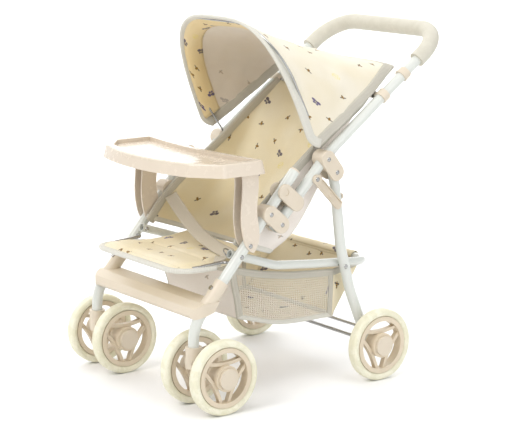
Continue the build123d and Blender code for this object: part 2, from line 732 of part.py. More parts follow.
with BuildPart() as caster_stems:
    for side in SIDES.values():
        x, (y, z) = side * TUBE_X, at((SWIVEL_Y, FRONT_TUBE_END_Z))
        with BuildSketch(Plane.XY.offset(z)):
            with Locations((x, y)):
                Circle(TUBE_R - TUBE_WALL)
        extrude(amount=STEM_INTO_TUBE)
        with BuildSketch(Plane.XY.offset(z)):
            with Locations((x, y)):
                Circle(STEM_D / 2)
        extrude(amount=-STEM_BELOW_TUBE)
save(caster_stems, "caster_stems")


def caster_fork(side):
    """A collar that turns on the stem, with an arm down to the boss that holds the axle."""
    x = side * TUBE_X
    y, tube_end = at((SWIVEL_Y, FRONT_TUBE_END_Z))
    bottom = AXLE_Z + CASTER_COLLAR_BOTTOM_Z
    top = AXLE_Z + CASTER_COLLAR_TOP_Z
    stem_end = tube_end - STEM_BELOW_TUBE
    boss_half = TWIN_OFFSET - HUB_L / 2 - GAP
    elbow_z = CASTER_COLLAR_BOTTOM_Z + CASTER_BOSS_D / 2
    with BuildPart() as fork:
        with BuildSketch(Plane.XY.offset(bottom)):
            with Locations((x, y)):
                Circle(CASTER_COLLAR_D / 2)
        extrude(amount=top - bottom)
        with BuildSketch(side_plane(x - CASTER_BOSS_D / 2)):
            with Locations((SWIVEL_Y, elbow_z)):
                Circle(CASTER_BOSS_D / 2 + 1)
            with Locations(FRONT_AXLE):
                Circle(CASTER_BOSS_D / 2)
            make_hull()
        extrude(amount=CASTER_BOSS_D)
        round_bar(FRONT_AXLE, CASTER_BOSS_D, x - boss_half, x + boss_half)
        with BuildSketch(Plane.XY.offset(stem_end - GAP)):
            with Locations((x, y)):
                Circle(STEM_D / 2 + RUNNING)
        extrude(amount=top - stem_end + GAP, mode=Mode.SUBTRACT)
        with BuildSketch(Plane.XY.offset(tube_end - GAP)):
            with Locations((x, y)):
                Circle(TUBE_R + GAP)
        extrude(amount=top - tube_end + GAP, mode=Mode.SUBTRACT)
        cross_hole(FRONT_AXLE, AXLE_D, x - 2 * boss_half, x + 2 * boss_half)
    return fork


def axle(place, x_from, x_to):
    with BuildPart() as rod:
        round_bar(place, AXLE_D, x_from, x_to)
    return rod


def hub_caps(place, faces):
    """Caps pushed on the ends of an axle, at the given outer hub faces."""
    with BuildPart() as caps:
        for x, outwards in faces:
            start = x + outwards * GAP
            round_bar(place, HUB_CAP_D, start, start + outwards * HUB_CAP_H)
            cross_hole(place, AXLE_D, start - outwards, start + outwards * CAP_GRIP)
    return caps


for name, side in SIDES.items():
    x = side * TUBE_X
    reach = TWIN_OFFSET + HUB_L / 2
    ends = [(x - reach, -1), (x + reach, 1)]
    save(caster_fork(side), f"caster_fork_{name}")
    save(axle(FRONT_AXLE, x - reach - GAP - CAP_GRIP, x + reach + GAP + CAP_GRIP), f"front_axle_{name}")
    save(hub_caps(FRONT_AXLE, ends), f"front_hub_caps_{name}")

REAR_AXLE = (0.0, 0.0)
REAR_REACH_X = REAR_WHEEL_X + HUB_L / 2
save(axle(REAR_AXLE, -REAR_REACH_X - GAP - CAP_GRIP, REAR_REACH_X + GAP + CAP_GRIP), "rear_axle")
save(hub_caps(REAR_AXLE, [(-REAR_REACH_X, -1), (REAR_REACH_X, 1)]), "rear_hub_caps")

with BuildPart() as axle_spacers:
    inner, outer = TUBE_X + TUBE_R, REAR_WHEEL_X - HUB_L / 2 - GAP
    for side in SIDES.values():
        round_bar(REAR_AXLE, SPACER_D, side * inner, side * outer)
        cross_hole(REAR_AXLE, AXLE_D, side * (inner - 1), side * (outer + 1))
save(axle_spacers, "axle_spacers")


# ------------------------------------------------------------------ wheels
def wheel_profile(x, place):
    """The plane for a wheel's half section: local x across the wheel, local y outwards."""
    y, z = at(place)
    return Plane(origin=(x, y, z), x_dir=(1, 0, 0), z_dir=(0, -1, 0))


def wheel_axis(place):
    return Axis((0, *at(place)), (1, 0, 0))


def wheel_rim(x, place):
    """A moulded rim: barrel, three pairs of arched spokes and the hub."""
    with BuildPart() as rim:
        with BuildSketch(wheel_profile(x, place)):
            with Locations((0, (RIM_D + WINDOW_D) / 4)):
                Rectangle(RIM_W, (RIM_D - WINDOW_D) / 2)
            with Locations((0, HUB_D / 4)):
                Rectangle(HUB_L, HUB_D / 2)
        revolve(axis=wheel_axis(place))
        with BuildSketch(side_plane(x - SPOKE_T / 2, place)) as web:
            with BuildLine():
                for index in range(SPOKE_COUNT):
                    middle = 90 + 360 / SPOKE_COUNT * index
                    ThreePointArc(
                        polar(WINDOW_D / 2 + 1, middle - SPOKE_HALF_ANGLE),
                        polar(HUB_D / 2 + SPOKE_W / 2 - 1, middle),
                        polar(WINDOW_D / 2 + 1, middle + SPOKE_HALF_ANGLE),
                    )
            trace(line_width=SPOKE_W)
            Circle((RIM_D + WINDOW_D) / 4, mode=Mode.INTERSECT)
        extrude(amount=SPOKE_T)
        cross_hole(place, AXLE_D + 2 * RUNNING, x - HUB_L, x + HUB_L)
    return rim


def wheel_tyre(x, place):
    with BuildPart() as tyre:
        with BuildSketch(wheel_profile(x, place)):
            with Locations((0, (WHEEL_D + RIM_D) / 4)):
                Rectangle(TYRE_W, (WHEEL_D - RIM_D) / 2)
            fillet(vertices().group_by(Axis.Z)[-1], TYRE_SHOULDER_R)
        revolve(axis=wheel_axis(place))
    return tyre


WHEELS = {
    "front_left_outer": (TUBE_X + TWIN_OFFSET, FRONT_AXLE),
    "front_left_inner": (TUBE_X - TWIN_OFFSET, FRONT_AXLE),
    "front_right_inner": (-TUBE_X + TWIN_OFFSET, FRONT_AXLE),
    "front_right_outer": (-TUBE_X - TWIN_OFFSET, FRONT_AXLE),
    "rear_left": (REAR_WHEEL_X, REAR_AXLE),
    "rear_right": (-REAR_WHEEL_X, REAR_AXLE),
}
for name, (x, place) in WHEELS.items():
    save(wheel_rim(x, place), f"rim_{name}")
    save(wheel_tyre(x, place), f"tyre_{name}")

# ------------------------------------------------------------------ tray
def tray_outline():
    """Plan of the tray's top edge: a bowed front with cut corners and a hollow back."""
    back, front = TRAY_REAR_Y + REAR_AXLE_Y, TRAY_FRONT_Y + REAR_AXLE_Y
    corner, side_front = TRAY_CORNER_Y + REAR_AXLE_Y, TRAY_SIDE_FRONT_Y + REAR_AXLE_Y
    with BuildLine() as edge:
        ThreePointArc((-TRAY_HALF_W, back), (0, back - TRAY_BACK_HOLLOW), (TRAY_HALF_W, back))
        Line((TRAY_HALF_W, back), (TRAY_HALF_W, side_front))
        Line((TRAY_HALF_W, side_front), (TRAY_CORNER_X, corner))
        ThreePointArc((TRAY_CORNER_X, corner), (0, front), (-TRAY_CORNER_X, corner))
        Line((-TRAY_CORNER_X, corner), (-TRAY_HALF_W, side_front))
        Line((-TRAY_HALF_W, side_front), (-TRAY_HALF_W, back))
    return edge.edges()


TRAY_FLARE = TRAY_H * TRAY_DRAFT
TRAY_TOP = AXLE_Z + TRAY_Z
TRAY_FLOOR = TRAY_TOP - TRAY_RECESS_DEPTH
with BuildPart() as tray:
    with BuildSketch(Plane.XY.offset(TRAY_TOP)):
        make_face(tray_outline())
        fillet(vertices(), TRAY_CORNER_R)
    with BuildSketch(Plane.XY.offset(TRAY_TOP - TRAY_H)):
        make_face(tray_outline())
        fillet(vertices(), TRAY_CORNER_R)
        offset(amount=TRAY_FLARE, kind=Kind.ARC)
    loft()
    fillet(tray.faces().sort_by(Axis.Z)[-1].edges(), TRAY_EDGE_R)
    with BuildSketch(Plane.XY.offset(TRAY_TOP)):
        make_face(tray_outline())
        fillet(vertices(), TRAY_CORNER_R)
        offset(amount=-TRAY_RIM, kind=Kind.ARC)
    extrude(amount=-TRAY_RECESS_DEPTH, mode=Mode.SUBTRACT)
    with BuildSketch(Plane.XY.offset(TRAY_FLOOR - TRAY_WALL)):
        make_face(tray_outline())
        fillet(vertices(), TRAY_CORNER_R)
        offset(amount=-TRAY_WALL, kind=Kind.ARC)
    extrude(amount=-TRAY_H, mode=Mode.SUBTRACT)
save(tray, "tray")

ARM_FRONT = [(-241.0, 281.0), (-241.3, 248.0), (-243.0, 222.0), (-240.5, 195.0), (-233.5, 176.0), (-222.0, 167.0)]
ARM_REAR = [(-222.0, 167.0), (-213.0, 182.0), (-212.5, 205.0), (-215.6, 225.0), (-214.5, 246.5), (-213.0, 281.0)]


def tray_arm(side):
    """Two flanges either side of the front tube, joined behind by a web above the tube."""
    top = TRAY_FLOOR - TRAY_WALL - AXLE_Z
    front_top, rear_top = (ARM_FRONT[0][0], top), (ARM_REAR[-1][0], top)
    with BuildPart() as arm:
        for x_from, x_to in (
            (CHEEK_INNER_X - ARM_T, CHEEK_INNER_X),
            (CHEEK_OUTER_X, CHEEK_OUTER_X + ARM_T),
        ):
            with BuildSketch(side_plane(side * x_from)):
                with BuildLine():
                    Spline(*ARM_FRONT)
                    Spline(*ARM_REAR)
                    Polyline(ARM_REAR[-1], rear_top, front_top, ARM_FRONT[0])
                make_face()
            extrude(amount=side * (x_to - x_from))
        with BuildSketch(side_plane(side * CHEEK_INNER_X)):
            with BuildLine():
                Polyline(ARM_REAR[-3], ARM_REAR[-2], ARM_REAR[-1], rear_top)
                Polyline(
                    rear_top,
                    (rear_top[0] - ARM_T, top),
                    (ARM_REAR[-1][0] - ARM_T, ARM_REAR[-1][1]),
                    (ARM_REAR[-2][0] - ARM_T, ARM_REAR[-2][1]),
                    (ARM_REAR[-3][0] - ARM_T, ARM_REAR[-3][1]),
                    ARM_REAR[-3],
                )
            make_face()
        extrude(amount=side * (CHEEK_OUTER_X - CHEEK_INNER_X))
        cross_hole(TRAY_PIVOT, RIVET_D + 2 * RUNNING, side * (CHEEK_INNER_X - 2 * ARM_T), side * (CHEEK_OUTER_X + 2 * ARM_T))
    return arm


for name, side in SIDES.items():
    save(tray_arm(side), f"tray_arm_{name}")

# ------------------------------------------------------------------ seat
def seat_loop_route():
    """The wire in the seat's front hem: out of one front tube, round and into the other."""
    tube_side = on_front_tube(SEAT_LOOP_TUBE_Z)
    left = [
        spot(TUBE_X - TUBE_R + TUBE_WALL, tube_side),
        spot(SEAT_LOOP_HALF_W, tube_side),
        spot(SEAT_LOOP_HALF_W, SEAT_LOOP_FRONT),
    ]
    right = [Vector(-point.X, point.Y, point.Z) for point in reversed(left)]
    bends = [2 * SEAT_LOOP_D, SEAT_LOOP_CORNER_R]
    FilletPolyline(*left, *right, radius=bends + bends[::-1])


with BuildPart() as seat_loop:
    with BuildLine() as route:
        seat_loop_route()
    with BuildSketch(Plane(origin=route.line @ 0, z_dir=route.line % 0)):
        Circle(SEAT_LOOP_D / 2)
    sweep(path=route.line)
save(seat_loop, "seat_loop")

with BuildPart() as seat_pan:
    with BuildSketch(side_plane(-SEAT_PAN_FRONT_HALF_W)):
        with BuildLine():
            Polyline(SEAT_PAN_FRONT, on_front_tube(SEAT_LOOP_TUBE_Z), SEAT_PAN_REAR)
        trace(line_width=SEAT_PAN_T)
    extrude(amount=2 * SEAT_PAN_FRONT_HALF_W)
    with BuildSketch(Plane.XY):
        front, rear = SEAT_PAN_FRONT[0] - SEAT_PAN_T + REAR_AXLE_Y, SEAT_PAN_REAR[0] + REAR_AXLE_Y
        step_y, waist_y = SEAT_PAN_STEP_Y + REAR_AXLE_Y, SEAT_PAN_WAIST_Y + REAR_AXLE_Y
        with BuildLine():
            Polyline(
                (-SEAT_PAN_REAR_HALF_W, rear),
                (-SEAT_PAN_REAR_HALF_W, waist_y),
                (-SEAT_PAN_FRONT_HALF_W, step_y),
                (-SEAT_PAN_FRONT_HALF_W, front),
                (SEAT_PAN_FRONT_HALF_W, front),
                (SEAT_PAN_FRONT_HALF_W, step_y),
                (SEAT_PAN_REAR_HALF_W, waist_y),
                (SEAT_PAN_REAR_HALF_W, rear),
                close=True,
            )
        make_face()
        fillet(vertices().group_by(Axis.Y)[0], SEAT_PAN_CORNER_R)
    extrude(amount=2 * TUBE_SPAN, mode=Mode.INTERSECT)
    with BuildLine() as route:
        seat_loop_route()
    with BuildSketch(Plane(origin=route.line @ 0, z_dir=route.line % 0)):
        Circle(SEAT_LOOP_D / 2)
    sweep(path=route.line, mode=Mode.SUBTRACT)
save(seat_pan, "seat_pan")

SEAT_BACK_LINE = [(-148.0, 164.0), (-90.0, 248.0), (16.0, 367.0)]
SEAT_WING_EDGE = [(6.0, 379.0), (-66.0, 325.0), (-122.0, 282.0), (-180.0, 241.0), (-218.0, 200.0), (-212.0, 172.0)]
with BuildPart() as seat_back:
    with BuildSketch(side_plane(-SEAT_BACK_HALF_W)):
        with BuildLine():
            Polyline(*SEAT_BACK_LINE)
        trace(line_width=SEAT_BACK_T)
    extrude(amount=2 * SEAT_BACK_HALF_W)
    for side in SIDES.values():
        with BuildSketch(side_plane(side * (SEAT_BACK_HALF_W - SEAT_BACK_T))):
            with BuildLine():
                Polyline(*SEAT_BACK_LINE, *SEAT_WING_EDGE, close=True)
            make_face()
        extrude(amount=side * SEAT_BACK_T)
save(seat_back, "seat_back")

with BuildPart() as lap_belt:
    end = SEAT_BACK_HALF_W - SEAT_BACK_T - GAP
    with BuildSketch(side_plane(-end)):
        with Locations(BELT_MIDDLE):
            Rectangle(BELT_W, BELT_T, rotation=BELT_TILT)
    extrude(amount=2 * end)
save(lap_belt, "lap_belt")

# ------------------------------------------------------------------ hood
def hood_plane(point, angle):
    """A plane across the stroller: local x to the left, local y up the hood at an angle from rearwards."""
    y, z = at(point)
    up = Vector(0, cos(radians(angle)), sin(radians(angle)))
    return Plane(origin=(0, y, z), x_dir=(1, 0, 0), z_dir=Vector(1, 0, 0).cross(up))


def hood_arch(half_w, height, corner_r, thickness, base=0.0):
    """A thin arch, open below: two upright sides and a top, with round corners."""
    inner_w, inner_h, inner_r = half_w - thickness, height - thickness, corner_r - thickness
    FilletPolyline((half_w, base), (half_w, height), (-half_w, height), (-half_w, base), radius=corner_r)
    Line((-half_w, base), (-inner_w, base))
    FilletPolyline((-inner_w, base), (-inner_w, inner_h), (inner_w, inner_h), (inner_w, base), radius=inner_r)
    Line((inner_w, base), (half_w, base))


BOW_UP = (cos(radians(CANOPY_BOW_ANGLE)), sin(radians(CANOPY_BOW_ANGLE)))
with BuildPart() as hood:
    with BuildSketch(hood_plane(UPPER_BRACKET_RIVET, CANOPY_BOW_ANGLE)):
        with BuildLine():
            hood_arch(CANOPY_HALF_W, CANOPY_BOW_H, CANOPY_BOW_R, CANOPY_T, CANOPY_BASE)
        make_face()
    with BuildSketch(hood_plane(CANOPY_MIDDLE, CANOPY_MIDDLE_ANGLE)):
        with BuildLine():
            hood_arch(CANOPY_MIDDLE_HALF_W, CANOPY_MIDDLE_H, CANOPY_MIDDLE_R, CANOPY_T)
        make_face()
    with BuildSketch(hood_plane(CANOPY_REAR, CANOPY_REAR_ANGLE)):
        with BuildLine():
            hood_arch(CANOPY_REAR_HALF_W, CANOPY_REAR_H, CANOPY_REAR_R, CANOPY_T)
        make_face()
    loft(ruled=True)
save(hood, "hood")

with BuildPart() as hood_wire:
    with BuildLine(hood_plane(UPPER_BRACKET_RIVET, CANOPY_BOW_ANGLE)) as route:
        wire_w = CANOPY_HALF_W - CANOPY_T - CANOPY_WIRE_D / 2 - GAP
        wire_h = CANOPY_BOW_H - CANOPY_T - CANOPY_WIRE_D / 2 - WIRE_DROP
        wire_bends = [WIRE_STRAIGHT, WIRE_SHOULDER_H, CANOPY_BOW_R]
        FilletPolyline(
            (WIRE_EYE_X, WIRE_EYE_D / 2 - WIRE_EYE_OVERLAP),
            (WIRE_EYE_X, WIRE_STRAIGHT),
            (wire_w, WIRE_SHOULDER_H),
            (wire_w, wire_h),
            (-wire_w, wire_h),
            (-wire_w, WIRE_SHOULDER_H),
            (-WIRE_EYE_X, WIRE_STRAIGHT),
            (-WIRE_EYE_X, WIRE_EYE_D / 2 - WIRE_EYE_OVERLAP),
            radius=wire_bends + wire_bends[::-1],
        )
    with BuildSketch(Plane(origin=route.line @ 0, z_dir=route.line % 0)):
        Circle(CANOPY_WIRE_D / 2)
    sweep(path=route.line)
    for side in SIDES.values():
        inner, outer = WIRE_EYE_X - WIRE_EYE_T / 2, WIRE_EYE_X + WIRE_EYE_T / 2
        round_bar(UPPER_BRACKET_RIVET, WIRE_EYE_D, side * inner, side * outer)
        cross_hole(UPPER_BRACKET_RIVET, RIVET_D + 2 * RUNNING, side * (inner - 1), side * (outer + 1))
save(hood_wire, "hood_wire")

# ------------------------------------------------------------------ basket
BASKET_BELOW = [BASKET_TOP_FRONT, BASKET_BOTTOM_FRONT, BASKET_BOTTOM_MIDDLE, BASKET_BOTTOM_REAR, BASKET_TOP_REAR]


def basket_block(half_w, front_half_w, outline, mode):
    """A block with a side-view outline, narrower in front."""
    with BuildSketch(side_plane(-half_w)) as profile:
        with BuildLine():
            Polyline(*outline, close=True)
        make_face()
    prism = extrude(profile.sketch, amount=2 * half_w, mode=Mode.PRIVATE)
    front, rear = outline[0][0] + REAR_AXLE_Y, BASKET_TOP_REAR[0] + REAR_AXLE_Y
    waist = BASKET_BOTTOM_REAR[0] + REAR_AXLE_Y
    with BuildSketch(Plane.XY) as plan:
        with BuildLine():
            Polyline(
                (-front_half_w, front),
                (front_half_w, front),
                (half_w, waist),
                (half_w, rear),
                (-half_w, rear),
                (-half_w, waist),
                close=True,
            )
        make_face()
    wedge = extrude(plan.sketch, amount=2 * TUBE_SPAN, mode=Mode.PRIVATE)
    add(prism & wedge, mode=mode)


with BuildPart() as basket:
    basket_block(BASKET_HALF_W, BASKET_FRONT_HALF_W, [*BASKET_BELOW, BASKET_TOP_MIDDLE], Mode.ADD)
    inside = [
        (BASKET_TOP_FRONT[0] + BASKET_T, BASKET_TOP_FRONT[1] + 2 * TUBE_D),
        (BASKET_TOP_FRONT[0] + BASKET_T, BASKET_TOP_FRONT[1]),
        (BASKET_BOTTOM_FRONT[0] + BASKET_T, BASKET_BOTTOM_FRONT[1] + BASKET_T),
        (BASKET_BOTTOM_MIDDLE[0], BASKET_BOTTOM_MIDDLE[1] + BASKET_T),
        (BASKET_BOTTOM_REAR[0] - BASKET_T / 2, BASKET_BOTTOM_REAR[1] + BASKET_T),
        (BASKET_TOP_REAR[0] - BASKET_T, BASKET_TOP_REAR[1]),
        (BASKET_TOP_REAR[0] - BASKET_T, BASKET_TOP_FRONT[1] + 2 * TUBE_D),
    ]
    basket_block(BASKET_HALF_W - BASKET_T, BASKET_FRONT_HALF_W - BASKET_T, inside, Mode.SUBTRACT)
save(basket, "basket")
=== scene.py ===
"""Looks of a folding stroller for a doll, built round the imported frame.

Metres. +X is the stroller's left, -Y is forwards and +Z is up. The sizes in the lists are
millimetres: x from the middle, y back from the rear axle, z up from the floor.
"""

import math

import bmesh
import bpy
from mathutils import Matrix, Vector, noise


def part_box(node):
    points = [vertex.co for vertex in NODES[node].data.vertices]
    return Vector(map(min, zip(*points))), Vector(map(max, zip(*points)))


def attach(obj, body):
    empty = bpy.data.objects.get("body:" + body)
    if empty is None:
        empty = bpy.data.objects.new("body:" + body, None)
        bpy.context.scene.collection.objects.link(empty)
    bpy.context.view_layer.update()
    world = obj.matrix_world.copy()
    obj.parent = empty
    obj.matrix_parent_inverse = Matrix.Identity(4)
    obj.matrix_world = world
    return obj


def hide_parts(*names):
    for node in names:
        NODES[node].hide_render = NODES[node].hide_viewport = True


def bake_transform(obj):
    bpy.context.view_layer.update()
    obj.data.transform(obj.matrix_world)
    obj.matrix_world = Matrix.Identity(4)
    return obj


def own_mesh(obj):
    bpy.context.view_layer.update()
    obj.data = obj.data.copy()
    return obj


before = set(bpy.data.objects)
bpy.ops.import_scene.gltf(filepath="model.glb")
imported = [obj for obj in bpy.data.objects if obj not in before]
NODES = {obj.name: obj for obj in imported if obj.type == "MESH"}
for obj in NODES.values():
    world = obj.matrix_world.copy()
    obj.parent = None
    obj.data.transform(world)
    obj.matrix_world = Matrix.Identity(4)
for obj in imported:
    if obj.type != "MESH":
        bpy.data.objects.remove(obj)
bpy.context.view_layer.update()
MM = 0.001
SIDES = {"left": 1, "right": -1}
axle_low, axle_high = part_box("rear_axle")
REAR_AXLE_Y = (axle_low.y + axle_high.y) / 2


def spot(x, y, z):
    """A position from millimetres: x from the middle, y back from the rear axle, z from the floor."""
    return Vector((x * MM, REAR_AXLE_Y + y * MM, z * MM))


# ---------------- wiring of node trees
class Bench:
    """Adds nodes to one tree and links them, so that a material reads from top to bottom."""

    def __init__(self, tree):
        self.tree = tree

    def node(self, kind, inputs=None, **settings):
        made = self.tree.nodes.new(kind)
        for name, value in settings.items():
            setattr(made, name, value)
        self.feed(made, inputs or {})
        return made

    def feed(self, made, inputs):
        """Links or sets a node's inputs."""
        for key, value in inputs.items():
            if isinstance(value, bpy.types.NodeSocket):
                self.tree.links.new(value, made.inputs[key])
            else:
                made.inputs[key].default_value = value

    def sum_of(self, operation, a, b=0.0, c=None):
        """One step of arithmetic on masks and coordinates."""
        inputs = {0: a, 1: b}
        if c is not None:
            inputs[2] = c
        return self.node("ShaderNodeMath", inputs, operation=operation).outputs[0]

    def ramp(self, value, low, high):
        """0 below low, 1 above high and smooth between."""
        return self.node(
            "ShaderNodeMapRange", {0: value, 1: low, 2: high}, interpolation_type="SMOOTHSTEP"
        ).outputs[0]

    def blend(self, factor, a, b):
        """Colour a where factor is 0 and b where it is 1."""
        return self.node("ShaderNodeMix", {0: factor, 6: a, 7: b}, data_type="RGBA").outputs[2]

    def noise(self, vector, scale, detail=3.0, roughness=0.5):
        return self.node(
            "ShaderNodeTexNoise",
            {"Vector": vector, "Scale": scale, "Detail": detail, "Roughness": roughness},
        ).outputs["Fac"]


SOCKETS = {"value": "NodeSocketFloat", "colour": "NodeSocketColor", "vector": "NodeSocketVector"}


def effect(name, takes, gives, wire):
    """A shader node group: takes and gives are {socket name: (kind, default)} and {name: kind}."""
    tree = bpy.data.node_groups.new(name, "ShaderNodeTree")
    for label, (kind, default) in takes.items():
        socket = tree.interface.new_socket(name=label, in_out="INPUT", socket_type=SOCKETS[kind])
        if default is not None:
            socket.default_value = default
    for label, kind in gives.items():
        tree.interface.new_socket(name=label, in_out="OUTPUT", socket_type=SOCKETS[kind])
    bench = Bench(tree)
    entry = bench.node("NodeGroupInput")
    results = wire(bench, entry.outputs)
    bench.node("NodeGroupOutput", results)
    return tree


def rgb(red, green, blue):
    return (red, green, blue, 1.0)


# ---------------- effects that materials share
def wire_handled_surface(bench, given):
    """Slow colour drift, faint handling marks and a fine bump."""
    where = given["Vector"]
    drift = bench.noise(where, 9.0, 2.0)
    marks = bench.noise(where, 70.0, 5.0, 0.65)
    grain = bench.noise(where, given["Grain size"], 2.0)
    shade = bench.blend(bench.ramp(drift, 0.35, 0.7), given["Colour"], given["Drift colour"])
    dull = bench.ramp(marks, 0.52, 0.78)
    shade = bench.blend(bench.sum_of("MULTIPLY", dull, given["Marks"]), shade, given["Mark colour"])
    rough = bench.sum_of("MULTIPLY_ADD", dull, 0.12, given["Roughness"])
    return {"Colour": shade, "Roughness": rough, "Height": grain}


HANDLED_SURFACE = effect(
    "Handled surface",
    {
        "Vector": ("vector", None),
        "Colour": ("colour", rgb(0.8, 0.8, 0.8)),
        "Drift colour": ("colour", rgb(0.75, 0.75, 0.75)),
        "Mark colour": ("colour", rgb(0.5, 0.48, 0.44)),
        "Marks": ("value", 0.12),
        "Roughness": ("value", 0.35),
        "Grain size": ("value", 900.0),
    },
    {"Colour": "colour", "Roughness": "value", "Height": "value"},
    wire_handled_surface,
)


def wire_woven_cloth(bench, given):
    """Plain weave: warp and weft threads that pass over each other, with slubs."""
    split = bench.node("ShaderNodeSeparateXYZ", {0: given["Vector"]}).outputs
    waves = []
    for axis in ("X", "Y"):
        turn = bench.sum_of("MULTIPLY", split[axis], given["Threads"])
        waves.append(bench.sum_of("SINE", turn))
    crossing = bench.sum_of("MULTIPLY", waves[0], waves[1])
    slubs = bench.noise(given["Vector"], 260.0, 3.0)
    height = bench.sum_of("MULTIPLY_ADD", slubs, 0.8, bench.sum_of("MULTIPLY", crossing, 0.5))
    shadow = bench.ramp(crossing, -1.0, 0.4)
    cloudy = bench.ramp(bench.noise(given["Vector"], 14.0, 2.0), 0.3, 0.75)
    base = bench.blend(cloudy, given["Colour"], given["Second colour"])
    dark = bench.node(
        "ShaderNodeHueSaturation", {"Color": base, "Value": 0.86, "Saturation": 1.08}
    ).outputs[0]
    return {"Colour": bench.blend(shadow, dark, base), "Height": height}


WOVEN_CLOTH = effect(
    "Woven cloth",
    {
        "Vector": ("vector", None),
        "Colour": ("colour", rgb(0.9, 0.85, 0.7)),
        "Second colour": ("colour", rgb(0.88, 0.82, 0.66)),
        "Threads": ("value", 5200.0),
    },
    {"Colour": "colour", "Height": "value"},
    wire_woven_cloth,
)


FULL_TURN = 6.283  # radians, for turning a motif


def wire_meadow_print(bench, given):
    """A loose scatter of small butterflies, bees and yellow blooms, one to a cell at most."""
    pitch = given["Spacing"]
    scaled = bench.node(
        "ShaderNodeVectorMath",
        {0: given["Vector"], 3: bench.sum_of("DIVIDE", 1.0, pitch)},
        operation="SCALE",
    ).outputs[0]
    cells = bench.node(
        "ShaderNodeTexVoronoi",
        {"Vector": scaled, "Scale": 1.0, "Randomness": 0.8},
        voronoi_dimensions="2D",
    )
    dice = bench.node("ShaderNodeSeparateColor", {0: cells.outputs["Color"]}).outputs
    away = bench.node(
        "ShaderNodeVectorMath", {0: scaled, 1: cells.outputs["Position"]}, operation="SUBTRACT"
    ).outputs[0]
    away = bench.node("ShaderNodeVectorMath", {0: away, 3: pitch}, operation="SCALE").outputs[0]
    turned = bench.node(
        "ShaderNodeVectorRotate",
        {"Vector": away, "Angle": bench.sum_of("MULTIPLY", dice[0], FULL_TURN)},
        rotation_type="Z_AXIS",
    ).outputs[0]
    local = bench.node("ShaderNodeSeparateXYZ", {0: turned}).outputs
    across, along = local["X"], local["Y"]

    both_sides = bench.sum_of("ABSOLUTE", across)

    def oval(sideways, x, y, half_x, half_y, full, faded):
        """1 inside an oval and 0 outside: full and faded are where its soft edge starts and ends."""
        u = bench.sum_of("DIVIDE", bench.sum_of("SUBTRACT", sideways, x), half_x)
        v = bench.sum_of("DIVIDE", bench.sum_of("SUBTRACT", along, y), half_y)
        size = bench.sum_of("ADD", bench.sum_of("MULTIPLY", u, u), bench.sum_of("MULTIPLY", v, v))
        return bench.sum_of("SUBTRACT", 1.0, bench.ramp(size, full, faded))

    def body(half_x, half_y):
        return oval(across, 0.0, 0.0, half_x, half_y, 0.75, 1.15)

    def wings(x, y, half_x, half_y):
        return oval(both_sides, x, y, half_x, half_y, 0.7, 1.2)

    veins = bench.ramp(bench.noise(away, 700.0, 2.0), 0.50, 0.66)
    shown = bench.sum_of("LESS_THAN", dice[2], given["Share shown"])
    is_butterfly = bench.sum_of("LESS_THAN", dice[1], 0.24)
    is_bloom = bench.sum_of("GREATER_THAN", dice[1], 0.84)
    is_bee = bench.sum_of("SUBTRACT", bench.sum_of("SUBTRACT", 1.0, is_butterfly), is_bloom)

    fore_wings, hind_wings = wings(0.0040, 0.0020, 0.0036, 0.0026), wings(0.0026, -0.0026, 0.0020, 0.0020)
    butterfly = bench.sum_of("MAXIMUM", fore_wings, hind_wings)
    butterfly_body = body(0.0006, 0.0042)
    bee_body = body(0.0020, 0.0038)
    bee_wings = wings(0.0031, 0.0014, 0.0026, 0.0012)
    stripes = bench.sum_of("SINE", bench.sum_of("MULTIPLY", along, 3200.0))
    bee_band = bench.sum_of("GREATER_THAN", stripes, 0.1)
    petals = bench.ramp(bench.noise(away, 620.0, 1.0), 0.5, 0.6)
    bloom = bench.sum_of("MULTIPLY", body(0.0062, 0.0062), petals)

    def stamp(colour, mask, kind, print_colour):
        mask = bench.sum_of("MULTIPLY", bench.sum_of("MULTIPLY", mask, kind), shown)
        mask = bench.sum_of("MULTIPLY", mask, given["Strength"])
        return bench.blend(mask, colour, print_colour)

    ink = bench.blend(bench.ramp(dice[0], 0.35, 0.55), rgb(0.060, 0.040, 0.155), rgb(0.085, 0.068, 0.078))
    veined = bench.blend(veins, ink, rgb(0.36, 0.30, 0.38))
    bee = bench.blend(bee_band, rgb(0.022, 0.016, 0.012), rgb(0.55, 0.30, 0.04))
    colour = stamp(given["Cloth colour"], bloom, is_bloom, rgb(0.80, 0.68, 0.14))
    colour = stamp(colour, bee_wings, is_bee, rgb(0.19, 0.15, 0.115))
    colour = stamp(colour, bee_body, is_bee, bee)
    colour = stamp(colour, butterfly, is_butterfly, veined)
    colour = stamp(colour, butterfly_body, is_butterfly, rgb(0.06, 0.05, 0.06))
    return {"Colour": colour}


MEADOW_PRINT = effect(
    "Meadow print",
    {
        "Vector": ("vector", None),
        "Cloth colour": ("colour", rgb(0.9, 0.85, 0.7)),
        "Spacing": ("value", 0.034),
        "Share shown": ("value", 0.62),
        "Strength": ("value", 1.0),
    },
    {"Colour": "colour"},
    wire_meadow_print,
)


def wire_stitch_line(bench, given):
    """Dashes of thread along one line of the cloth map."""
    split = bench.node("ShaderNodeSeparateXYZ", {0: given["Vector"]}).outputs
    off = bench.sum_of("ABSOLUTE", bench.sum_of("SUBTRACT", split["Y"], given["Line"]))
    on_line = bench.sum_of("SUBTRACT", 1.0, bench.ramp(off, 0.0003, 0.0007))
    dash = bench.ramp(bench.sum_of("SINE", bench.sum_of("MULTIPLY", split["X"], 2300.0)), -0.5, 0.1)
    return {"Thread": bench.sum_of("MULTIPLY", on_line, dash), "Groove": on_line}


STITCH_LINE = effect(
    "Stitch line",
    {"Vector": ("vector", None), "Line": ("value", 0.002)},
    {"Thread": "value", "Groove": "value"},
    wire_stitch_line,
)


